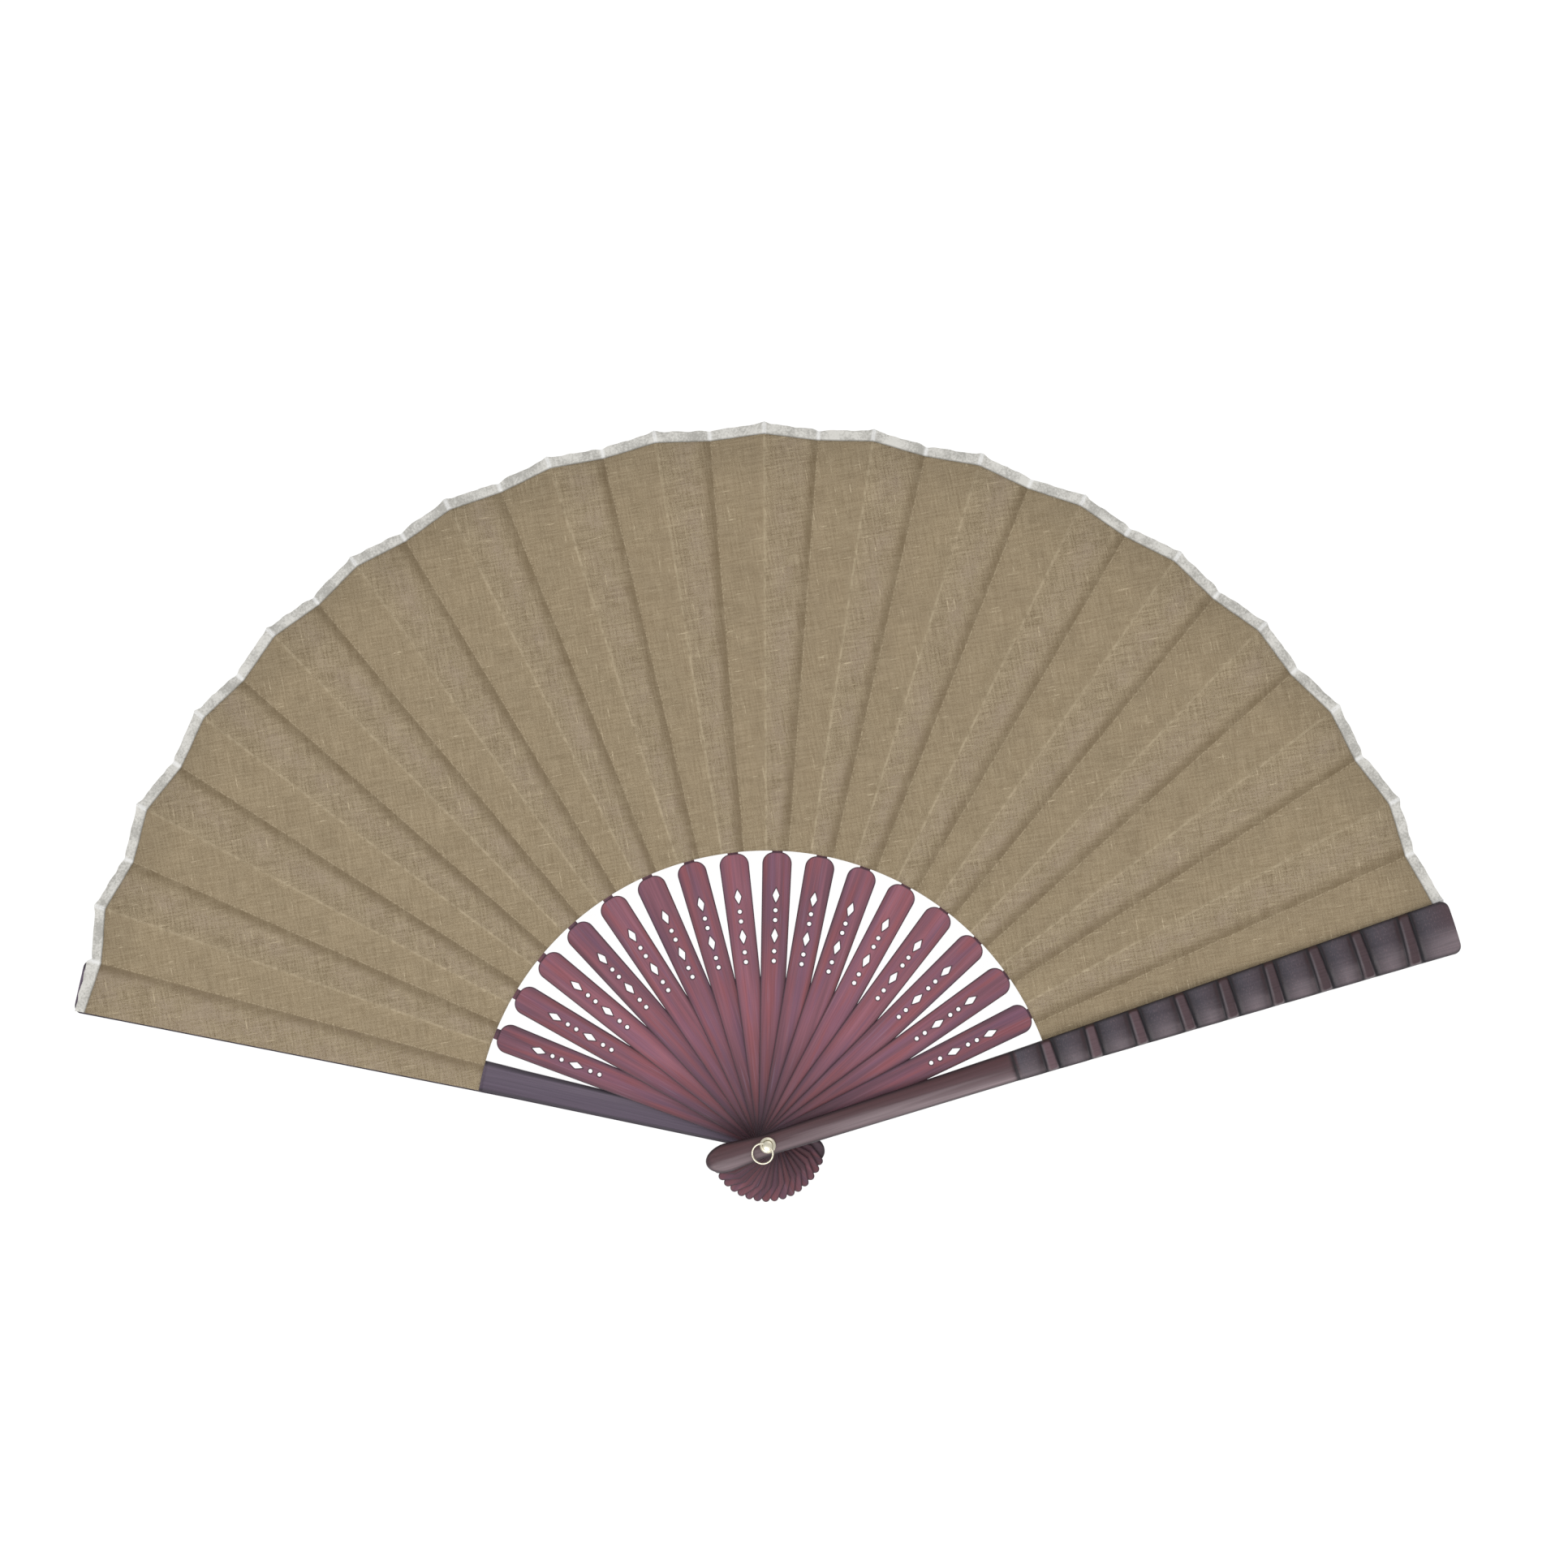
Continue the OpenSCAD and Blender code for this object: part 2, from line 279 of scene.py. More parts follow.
def linen_material(c):
    """Plain-woven linen: uneven flax yarns in two directions, pale slubs, folds pressed in."""
    material, add, shader = blank("Linen, plain weave", Roughness=0.92, Sheen_Weight=0.06)
    at = add("Attribute", out=1, attribute_name="weave")
    fold = add("SeparateXYZ", (add("Attribute", out=1, attribute_name="fold"),)).node
    to_mountain, to_valley, to_slip = fold.outputs

    # Yarns: 0.55 mm apart, drawn a little coarser than the real 0.4 mm so that they show
    yarn, run = 0.55, 9.0
    fields = {}
    for part, x, y, shift, detail in (
        ("warp", yarn, run, 0.0, 2.5),
        ("weft", run, yarn, 31.0, 2.5),
        ("knots", 0.42, 0.42, 7.0, 1.0),
        ("clouds", 9.0, 9.0, 3.0, 3.0),
        ("wear", 2.2, 2.2, 19.0, 2.0),
        ("dots", 0.6, 0.6, 23.0, 0.0),
        ("warp slubs", 0.5, 6.5, 57.0, 0.5),
        ("weft slubs", 6.5, 0.5, 83.0, 0.5),
    ):
        spot = stretched(add, at, x, y, shift=shift)
        fields[part] = add("TexNoise", (spot, 1.0, detail, 0.6), noise_dimensions="2D")
    # Plain weave: over and under by turns, a chequer of sines on the two yarns
    sides = add("SeparateXYZ", (stretched(add, at, yarn / TAU, yarn / TAU),)).node.outputs
    waves = [add("Math", (side,), operation="SINE") for side in sides[:2]]
    over = add("Math", waves, operation="MULTIPLY")
    yarns = add("Math", (fields["warp"], fields["weft"]), operation="ADD")
    grain = add("Math", (yarns, fields["knots"]), operation="ADD")
    grain = add("Math", (over, 0.3, grain), operation="MULTIPLY_ADD")
    level = add("MapRange", (grain, 0.95, 2.05))
    tone = add("Mix", (level, c.linen_shade, c.linen_light), data_type="RGBA")
    # The glued panels show their weave more than the free pleats
    panel = add("MapRange", (to_valley, -0.3, 0.3))
    calm = add("MapRange", (panel, 0.0, 1.0, 0.55, 0.3))
    cloth = add("Mix", (calm, tone, c.linen), data_type="RGBA")

    # The slip's plum shows greyish through the thin places of the panel over it
    behind = add("MapRange", (to_slip, 4.8, -0.5, 0.0, 0.42))
    thin = add("Math", (fields["knots"], fields["clouds"]), operation="ADD")
    thin = add("MapRange", (thin, 0.88, 1.2))
    behind = add("Math", (behind, thin), operation="MULTIPLY")
    cloth = add("Mix", (behind, cloth, c.linen_grey), data_type="RGBA")

    # Slubs: thick stretches of single yarns, up to 10 mm long, broken where the other yarn passes over
    slubs = add("Math", (fields["warp slubs"], fields["weft slubs"]), operation="MAXIMUM")
    slubs = add("MapRange", (slubs, 0.755, 0.85, 0.0, 0.95))
    broken = add("MapRange", (fields["dots"], 0.35, 0.6, 0.25))
    slubs = add("Math", (slubs, broken), operation="MULTIPLY")
    cloth = add("Mix", (slubs, cloth, c.linen_light), data_type="RGBA")

    # Worn mountain folds: a pale line 0.5 mm wide in a soft pale edge
    crest = add("MapRange", (to_mountain, 0.42, 0.08, 0.0, 0.6))
    soft = add("MapRange", (to_mountain, 1.5, 0.0, 0.0, 0.12))
    crest = add("Math", (crest, soft), operation="ADD")
    worn = add("MapRange", (fields["wear"], 0.32, 0.66, 0.15))
    crest = add("Math", (crest, worn), operation="MULTIPLY")
    cloth = add("Mix", (crest, cloth, c.linen_light), data_type="RGBA")

    # Valley folds: the panel darkens softly towards the fold, painted shade of its hollow with some real
    # soiling, and a dotted pale line runs along it
    near = add("MapRange", (to_valley, 3.9, 0.7, 0.0, 0.62), interpolation_type="SMOOTHSTEP")
    past = add("MapRange", (to_valley, -0.7, 0.35))
    shade = add("Math", (near, past), operation="MULTIPLY")
    uneven = add("MapRange", (fields["clouds"], 0.35, 0.6, 0.6))
    shade = add("Math", (shade, uneven), operation="MULTIPLY")
    cloth = add("Mix", (shade, cloth, c.linen_shade), data_type="RGBA")
    beside = add("Math", (to_valley, 0.15), operation="ADD")
    beside = add("Math", (beside,), operation="ABSOLUTE")
    beside = add("MapRange", (beside, 0.34, 0.1, 0.0, 0.45))
    stitch = add("MapRange", (fields["dots"], 0.47, 0.56))
    beside = add("Math", (beside, stitch), operation="MULTIPLY")
    cloth = add("Mix", (beside, cloth, c.linen_light), data_type="RGBA")

    # Broad unevenness of the cloth
    gain = add("MapRange", (fields["clouds"], 0.3, 0.7, 0.96, 1.04))
    # The linen darkens over the last 12 mm before the edge
    reach = add("VectorMath", (at,), operation="LENGTH")
    edge_darkening = add("MapRange", (reach, 194.0, 206.0, 1.0, 0.88))
    gain = add("Math", (gain, edge_darkening), operation="MULTIPLY")
    cloth = add("VectorMath", (cloth, gain), operation="SCALE")
    relief = add("Bump", {"Strength": 0.5, "Distance": 0.12 * MM, "Height": grain})
    feed(shader, Base_Color=cloth, Normal=relief)
    return material


def binding_material(c):
    """Bleached cotton tape: soft white with thin greyish places and light creases at the folds."""
    material, add, shader = blank("Cotton tape, bleached", Roughness=0.85, Sheen_Weight=0.05)
    at = add("Attribute", out=1, attribute_name="weave")
    edge = add("SeparateXYZ", (add("Attribute", out=1, attribute_name="fold"),)).node
    to_mountain, to_valley, across = edge.outputs
    mottle = add("TexNoise", (stretched(add, at, 0.7, 0.7), 1.0, 3.0, 0.7), noise_dimensions="2D")
    patches = add("TexNoise", (stretched(add, at, 6, 6, shift=11.0), 1.0, 2.0), noise_dimensions="2D")
    mixed = add("Math", (mottle, patches), operation="ADD")
    level = add("MapRange", (mixed, 0.82, 1.22))
    cotton = add("Mix", (level, c.binding, c.binding_grey), data_type="RGBA")
    # Creases across the tape where the leaf folds
    depth = add("Math", (to_valley,), operation="ABSOLUTE")
    near = add("Math", (depth, to_mountain), operation="MINIMUM")
    crease = add("MapRange", (near, 0.9, 0.2, 0.0, 0.6))
    cotton = add("Mix", (crease, cotton, c.binding_crease), data_type="RGBA")
    # The tape's cut edge on the linen casts a thin dark line
    hem = add("MapRange", (across, 0.1, -0.35, 0.0, 0.75))
    cotton = add("Mix", (hem, cotton, c.binding_hem), data_type="RGBA")
    relief = add("Bump", {"Strength": 0.6, "Distance": 0.1 * MM, "Height": mottle})
    feed(shader, Base_Color=cotton, Normal=relief)
    return material


def rib_material(c):
    """Split bamboo, dyed plum and lacquered thin: satin, with fine lengthwise fibres and burnt edges."""
    material, add, shader = blank("Bamboo, dyed and lacquered", Specular_IOR_Level=0.38)
    lay = add("Attribute", out=1, attribute_name="lay")
    mark = add("SeparateXYZ", (add("Attribute", out=1, attribute_name="mark"),)).node
    rim, hue, seed = mark.outputs
    place, side, _ = add("SeparateXYZ", (lay,)).node.outputs
    # Each rib reads its own stretch of the fibres
    own = add("CombineXYZ", {"X": add("Math", (seed, 170.0), operation="MULTIPLY"), "Y": seed})
    lay = add("VectorMath", (lay, own), operation="ADD")
    fibres = add("TexNoise", (stretched(add, lay, 26, 0.34), 1.0, 3.0, 0.6), noise_dimensions="2D")
    bands = add("TexNoise", (stretched(add, lay, 48, 2.2, shift=5.0), 1.0, 2.0), noise_dimensions="2D")
    # Plum from dark to rose by rib, with its own bands, and russet and violet where the dye took unevenly
    spread = add("MapRange", (bands, 0.3, 0.7, -0.3, 0.3))
    factor = add("Math", (hue, spread), operation="ADD", use_clamp=True)
    wood = add("Mix", (factor, c.rib_dark, c.rib_light), data_type="RGBA")
    for shift, cast, most in ((61.0, c.rib_russet, 0.6), (77.0, c.rib_violet, 0.45)):
        spot = stretched(add, lay, 30, 2.6, shift=shift)
        patch = add("TexNoise", (spot, 1.0, 2.0), noise_dimensions="2D")
        patch = add("MapRange", (patch, 0.48, 0.68, 0.0, most))
        wood = add("Mix", (patch, wood, cast), data_type="RGBA")
    gain = add("MapRange", (fibres, 0.3, 0.7, 0.88, 1.1))
    wood = add("VectorMath", (wood, gain), operation="SCALE")
    # Darker towards the rivet, on the tail and along both edges: painted shade where the stacked ribs
    # overlap, with some dye gathered there
    near = add("MapRange", (place, 0.0, 40.0, 0.42, 1.0))
    half = add("MapRange", (place, 0.0, SHOULDER, WAIST_HALF, SHOULDER_HALF))
    share = add("Math", (add("Math", (side,), operation="ABSOLUTE"), half), operation="DIVIDE")
    share = add("MapRange", (share, 0.6, 1.0, 1.0, 0.62))
    tail = add("MapRange", (place, 0.0, -9.0, 0.0, 0.26))
    near = add("Math", (near, tail), operation="ADD")
    near = add("Math", (near, share), operation="MULTIPLY")
    wood = add("VectorMath", (wood, near), operation="SCALE")
    # Painted highlights: pale bluish lines along a fibre, where the lacquer catches the light
    glinted = add("TexNoise", (stretched(add, lay, 16, 0.42, shift=41.0), 1.0, 1.0), noise_dimensions="2D")
    glinted = add("MapRange", (glinted, 0.66, 0.82, 0.0, 0.22))
    wood = add("Mix", (glinted, wood, c.rib_glint), data_type="RGBA")
    # Dark edges and hole rims: gathered dye and painted shade on their rounding
    edge_dye_and_shade = add("MapRange", (rim, 0.1, 0.95, 0.0, 0.82))
    wood = add("Mix", (edge_dye_and_shade, wood, c.rib_edge_dye_and_shade), data_type="RGBA")
    feed(shader, Base_Color=wood)
    satin = add("MapRange", (fibres, 0.3, 0.7, 0.36, 0.52))
    feed(shader, Roughness=satin)
    relief = add("Bump", {"Strength": 0.35, "Distance": 0.06 * MM, "Height": fibres})
    feed(shader, Normal=relief)
    return material


def guard_material(c):
    """Thick bamboo skin, stained near black and rubbed back: satin, with red lands and scraped fields, and
    painted highlights and shade.
    """
    material, add, shader = blank("Bamboo, stained and rubbed", Specular_IOR_Level=0.28)
    lay = add("Attribute", out=1, attribute_name="lay")
    parts = add("SeparateXYZ", (add("Attribute", out=1, attribute_name="carving"),)).node
    land, field, groove = parts.outputs
    more = add("SeparateXYZ", (add("Attribute", out=1, attribute_name="mark"),)).node
    rim, chamfer, inside = more.outputs
    fibres = add("TexNoise", (stretched(add, lay, 34, 0.5, 0.5), 1.0, 3.0, 0.6))
    bands = add("TexNoise", (stretched(add, lay, 55, 2.6, 3.0, shift=4.0), 1.0, 2.0))
    # The handle has a painted highlight along one side, and painted shade over its red stain along the other
    place, side, _ = add("SeparateXYZ", (lay,)).node.outputs
    worn = add("MapRange", (bands, 0.3, 0.7, -1.6, 1.6))
    worn = add("Math", (side, worn), operation="ADD")
    stained = add("MapRange", (worn, -0.2, 3.2, 0.0, 0.95))
    worn = add("MapRange", (worn, 0.0, -3.6, 0.0, 0.9))
    wood = add("Mix", (worn, c.guard, c.guard_painted_highlight), data_type="RGBA")
    wood = add("Mix", (stained, wood, c.guard_stain_and_shade), data_type="RGBA")
    # Red-brown shows where the stain is rubbed thin
    red = add("MapRange", (bands, 0.46, 0.68, 0.0, 0.35))
    red = add("Math", (red, land), operation="MAXIMUM")
    wood = add("Mix", (red, wood, c.guard_land), data_type="RGBA")
    # Handling has paled the carving's near end
    dulled = add("MapRange", (place, 88.0, 140.0, 1.05, 0.52))
    dulled = add("Mix", (land, 1.0, dulled))
    wood = add("VectorMath", (wood, dulled), operation="SCALE")
    wood = add("Mix", (field, wood, c.guard_field), data_type="RGBA")
    # Painted highlight: the fields are paler and pinkish along the side away from the leaf
    rubbed = add("MapRange", (side, 1.5, -5.0, 0.0, 0.4))
    rubbed = add("Math", (rubbed, field), operation="MULTIPLY")
    wood = add("Mix", (rubbed, wood, c.guard_painted_highlight), data_type="RGBA")
    # Inner face of a guard: bluer and plain
    head = add("MapRange", (place, -5.0, -13.0))
    plain = add("Mix", (head, c.guard_inside, c.guard_inside_head), data_type="RGBA")
    wood = add("Mix", (inside, wood, plain), data_type="RGBA")
    gain = add("MapRange", (fibres, 0.3, 0.7, 0.86, 1.14))
    wood = add("VectorMath", (wood, gain), operation="SCALE")
    # Scraper marks across the fields: pale flecks about 0.9 mm long and 0.3 mm wide
    scrapes = add("TexNoise", (stretched(add, lay, 0.34, 0.9, 3.0, shift=13.0), 1.0, 2.0))
    flecks = add("MapRange", (scrapes, 0.54, 0.76, 0.0, 0.34))
    flecks = add("Math", (flecks, field), operation="MULTIPLY")
    wood = add("Mix", (flecks, wood, c.guard_fleck), data_type="RGBA")
    # Painted highlight on the cut slope at the handle's side of each land
    pale = add("Math", (chamfer, 0.65), operation="MULTIPLY")
    wood = add("Mix", (pale, wood, c.guard_chamfer_highlight), data_type="RGBA")
    # Painted shade beside each land and in the carving's entry cut
    wood = add("Mix", (groove, wood, c.guard_shade), data_type="RGBA")
    # Painted shade along the guard's edges and at the head's rounded end
    dark = add("Math", (rim, 0.85), operation="MULTIPLY")
    wood = add("Mix", (dark, wood, c.guard_shade), data_type="RGBA")
    feed(shader, Base_Color=wood)
    satin = add("MapRange", (fibres, 0.3, 0.7, 0.34, 0.5))
    feed(shader, Roughness=satin)
    height = add("Math", (scrapes, field), operation="MULTIPLY")
    height = add("Math", (height, fibres), operation="ADD")
    relief = add("Bump", {"Strength": 0.45, "Distance": 0.1 * MM, "Height": height})
    feed(shader, Normal=relief)
    return material


def metal_material(c):
    """Nickel-plated brass wire and stud: bright and warm, with fine handling scratches."""
    material, add, shader = blank("Brass, nickel plated", Metallic=1.0)
    at = add("TexCoord", out=3)
    wear = add("TexNoise", (at, 1 / (1.2 * MM), 4.0, 0.65))
    dull = add("MapRange", (wear, 0.35, 0.7, 0.18, 0.42))
    tone = add("MapRange", (wear, 0.5, 0.75, 0.0, 0.45))
    plate = add("Mix", (tone, c.metal, c.metal_dull), data_type="RGBA")
    feed(shader, Base_Color=plate)
    feed(shader, Roughness=dull)
    return material


def floor_material(c):
    """Opal acrylic of a light table, matt: lit from below, so that the fan hardly shades it."""
    material, _, _ = blank(
        "Acrylic, opal, lit",
        Roughness=0.9,
        Base_Color=rgba(c.floor_body),
        Specular_IOR_Level=0.1,
        Emission_Color=rgba(c.floor),
        Emission_Strength=1.0,
    )
    return material


MATERIALS = {
    "linen": linen_material,
    "binding": binding_material,
    "rib": rib_material,
    "guard": guard_material,
    "metal": metal_material,
    "floor": floor_material,
}
made_materials = {}


def finish_of(kind):
    """The fan's material of that kind, made once."""
    if kind not in made_materials:
        made_materials[kind] = MATERIALS[kind](bpy.context.scene.fan_colours)
    return made_materials[kind]


# ---------------------------------------------------------------- leaf

# Half widths of a rib's slip where the leaf starts and where the slip ends
SLIP_ROOT_HALF = 1.6
SLIP_END_HALF = 1.1
SLIP_REACH = 205.2
# The pleat passes this far above the panel's linen where it must clear the next slip when closed
PLEAT_GAP_LOW = 0.22
PLEAT_GAP_HIGH = 0.38
# Weave direction against the fan's own axes
WEAVE_ANGLE = 8.0
GUARD_WAIST = 6.4
GUARD_MID = 8.8
GUARD_TIP = 16.2
GUARD_REACH = 212.0
CARVING_START = 75.4
EDGE_INSET = 0.4
# How much shorter the linen is at both ends of the fan, and at the back guard's outer edge
END_SHORTER = 1.6
FIRST_SHORTER = 1.2
# Share of the valley drop that is left in the middle of the fan, and how hollow a cut edge is
MIDDLE_DROP = 0.46
EDGE_HOLLOW = 0.16
# Clear cloth between a slip and the bend beside it, and how far neighbouring lengths lap
SLIP_CLEAR = 0.12
LAP = 0.08
# How much free cloth waves up and down
CLOTH_WAVE = 0.13
# Shares of a panel that are free cloth, on either side of the level stretch, and where that ends
FREE_SHARE = 0.4
LEVEL_SHARE = 0.2
LEVEL_END = 0.6
# Half of what lies behind the linen: a slip, or a guard
SLIP_MEAN_HALF = 1.3
GUARD_MEAN_HALF = 7.0
# Stands for a fold that a panel doesn't have
FAR = 9.0
LEAF_ROWS = 84


def guard_half(x):
    """Half a guard's width at a distance from the rivet, without its rounded ends: two straight tapers."""
    handle = GUARD_WAIST + (GUARD_MID - GUARD_WAIST) * x / CARVING_START
    carved = GUARD_MID + (GUARD_TIP - GUARD_MID) * (x - CARVING_START) / (GUARD_REACH - CARVING_START)
    return np.where(x < CARVING_START, handle, carved) / 2


def panel_height(k):
    """Height of the middle of the linen over stick k."""
    return low_z(panel_name(k)) + 0.1


def crest_height(k):
    """How far the mountain fold of stick k stands up; it dies out under the front guard."""
    highest = bpy.context.scene.fan_sizes.fold_height / MM
    return 0.0 if k in (0, LAST) else min(highest, 0.06 + 0.45 * (LAST - 1 - k))


def valley_depth(k):
    """How far the valley fold of stick k dips; it dies out over the back guard."""
    lowest = bpy.context.scene.fan_sizes.fold_height / MM
    return 0.0 if k in (0, LAST) else min(lowest, 0.45 + 0.5 * (k - 1))


def leaf_lie(k, p, r):
    """Where the leaf lies: angle from stick k in degrees, height, and share of the next stick's turn.

    p runs from 0 at the stick's mountain fold to 1 at its valley fold, and on to 2 at the next mountain
    fold. Over a slip and between two slips the cloth is nearly level; from there it runs straight to
    each fold, whose height grows with the distance r from the rivet.
    """
    sizes = bpy.context.scene.fan_sizes
    inner, reach = sizes.leaf_inner / MM, sizes.leaf_reach / MM
    grow = (r / reach) ** 1.5
    half = SLIP_ROOT_HALF + (SLIP_END_HALF - SLIP_ROOT_HALF) * (r - inner) / (reach - inner)
    slip = np.degrees(np.arcsin((half + SLIP_CLEAR) / r))
    end = np.degrees(np.arcsin((guard_half(r) - EDGE_INSET) / r))
    left = end if k == 0 else FOLD
    right = -end if k == LAST else -FOLD
    share = np.where(p > 1, p - 1, p)
    rise = np.clip(share / FREE_SHARE, 0, 1)
    level = np.clip((share - FREE_SHARE) / LEVEL_SHARE, 0, 1)
    fall = np.clip((share - LEVEL_END) / FREE_SHARE, 0, 1)
    base = panel_height(k)
    angle = left + (slip - left) * rise - 2 * slip * level + (right + slip) * fall
    z = base + crest_height(k) * grow * (1 - rise) ** 1.15 - valley_depth(k) * grow * fall**1.15
    turn = np.zeros_like(z)
    if k < LAST:
        middle, far = -2 * FOLD, -3 * FOLD
        low = base - valley_depth(k) * grow
        high = panel_height(k + 1) + crest_height(k + 1) * grow
        over = -FOLD + (middle + slip + FOLD) * rise - 2 * slip * level + (far - middle + slip) * fall
        up = low + (base + PLEAT_GAP_LOW - low) * (1 - (1 - rise) ** 1.15)
        up = up + (PLEAT_GAP_HIGH - PLEAT_GAP_LOW) * level + (high - base - PLEAT_GAP_HIGH) * fall**1.15
        angle, z = np.where(p > 1, over, angle), np.where(p > 1, up, z)
        turn = np.where(p > 1, (-FOLD - over) / (2 * FOLD), 0.0)
    # Neighbouring stretches of the leaf lap over each other by a hair at the mountain fold
    lap = np.degrees(LAP / r)
    if k:
        angle = angle + lap * np.clip(1 - 12 * p, 0, 1)
    if k < LAST:
        angle = angle - lap * np.clip(12 * p - 23, 0, 1)
    # The free cloth between glue and fold is never quite flat
    free = np.sin(np.pi * np.clip(np.maximum((share < 0.4) * rise, (share > 0.6) * fall), 0, 1))
    z = z + CLOTH_WAVE * free * grow * ripple(r * np.radians(angle - k * STEP) / 3.2, r / 9.0, 0.0)
    return angle, z, turn


def mountain_reach(k):
    """Distance from the rivet to the linen's edge at stick k's mountain fold, less at both ends."""
    reach = bpy.context.scene.fan_sizes.leaf_reach / MM
    return reach - END_SHORTER * (abs(k - MIDDLE) / MIDDLE) ** 3


def valley_reach(k):
    """The same at its valley fold, which is cut back less in the middle of the fan than at its ends."""
    drop = bpy.context.scene.fan_sizes.valley_drop / MM
    return mountain_reach(k) - drop * (MIDDLE_DROP + (1 - MIDDLE_DROP) * (abs(k - MIDDLE) / MIDDLE) ** 2)


def edge_reach(k, p):
    """Distance from the rivet to the linen's edge: straight from fold to fold, seen from above."""
    to_valley = np.clip(1 - np.abs(p - 1), 0, 1)
    start = mountain_reach(k) if k else mountain_reach(k) - FIRST_SHORTER
    far = mountain_reach(min(k + 1, LAST))
    peak = np.where(p < 1, start, far)
    hollow = EDGE_HOLLOW * np.sin(np.pi * to_valley)
    return peak + (valley_reach(k) - peak) * to_valley - hollow


def leaf_attributes(k, angle, r, across=None):
    """Weave coordinates, and distances to the mountain fold, the valley fold and the slip's edge.

    On the tape, the third is the place across it.
    """
    world = np.radians(FIRST_ANGLE - k * STEP + angle - WEAVE_ANGLE)
    weave = np.stack([r * np.cos(world), r * np.sin(world), np.zeros_like(r)], -1)
    to_valley = r * np.sin(np.radians(angle + FOLD))
    near_left, near_right = r * np.sin(np.radians(FOLD - angle)), r * np.sin(np.radians(angle + 3 * FOLD))
    to_mountain = np.where(angle > -FOLD, near_left, near_right)
    if k == 0:
        to_mountain = np.where(angle > -FOLD, FAR, near_right)
    if k == LAST:
        to_valley = np.full_like(r, FAR)
    # Behind an end panel lies a whole guard, not a slip
    behind = SLIP_MEAN_HALF if 0 < k < LAST else GUARD_MEAN_HALF
    slip = np.where(angle > -FOLD, np.abs(r * np.sin(np.radians(angle))) - behind, FAR)
    third = slip if across is None else across
    return {"weave": weave, "fold": np.stack([to_mountain, to_valley, third], -1)}


def fold_columns(k, per_flank):
    """Values of p for a mesh's columns, closer together at the folds."""
    flank = np.linspace(0, 1, per_flank) ** 1.5 * 0.4
    panel = np.concatenate([flank, [0.5], 1 - flank[::-1]])
    return panel if k == LAST else np.concatenate([panel, panel[1:] + 1])


def set_turn(piece, k, turn):
    """Makes a piece of the leaf follow stick k, and its pleat turn evenly into the next stick."""
    if k == LAST:
        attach(piece, "front_guard")
        return
    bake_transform(piece, stick_name(k), stick_name(k + 1), start=(0, 0, 0), end=(1, 0, 0))
    weights = piece.data.attributes["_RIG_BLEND"].data
    weights.foreach_set("value", np.asarray(turn, np.float32).ravel())


def make_leaf_piece(k):
    """One panel of the leaf with the pleat on its right: radii from the inner to the outer edge."""
    sizes = bpy.context.scene.fan_sizes
    p = fold_columns(k, 8)[None, :]
    rows = np.linspace(0, 1, LEAF_ROWS)[:, None]
    # The inner edge comes close to the ribs' shoulders, and draws back a little towards the back guard
    inner = sizes.leaf_inner / MM - 0.6 + 0.9 * np.clip((8 - k - p / 2) / 8, 0, 1)
    r = inner + (edge_reach(k, p) - inner) * rows
    p = np.broadcast_to(p, r.shape)
    angle, z, turn = leaf_lie(k, p, r)
    points = polar(r, angle, z)
    faces, attributes = grid_faces(*r.shape), leaf_attributes(k, angle, r)
    piece = make_piece(f"leaf_{k:02d}", on_stick(k, points), faces, finish_of("linen"), attributes)
    set_turn(piece, k, turn)
    thick = piece.modifiers.new("Linen thickness", "SOLIDIFY")
    thick.thickness = sizes.cloth_thick
    thick.offset = 0
    nodes = [panel_name(k)] + ([f"leaf_pleat_{k + 1:02d}"] if k < LAST else [])
    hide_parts(*nodes)
    return piece


# The tape's bump at a mountain fold, the waviness of its outer edge and its lap on the linen
BINDING_BUMP = 0.45
BINDING_WAVE = 0.24
BINDING_LAP = 2.6
PUCKER = 0.05


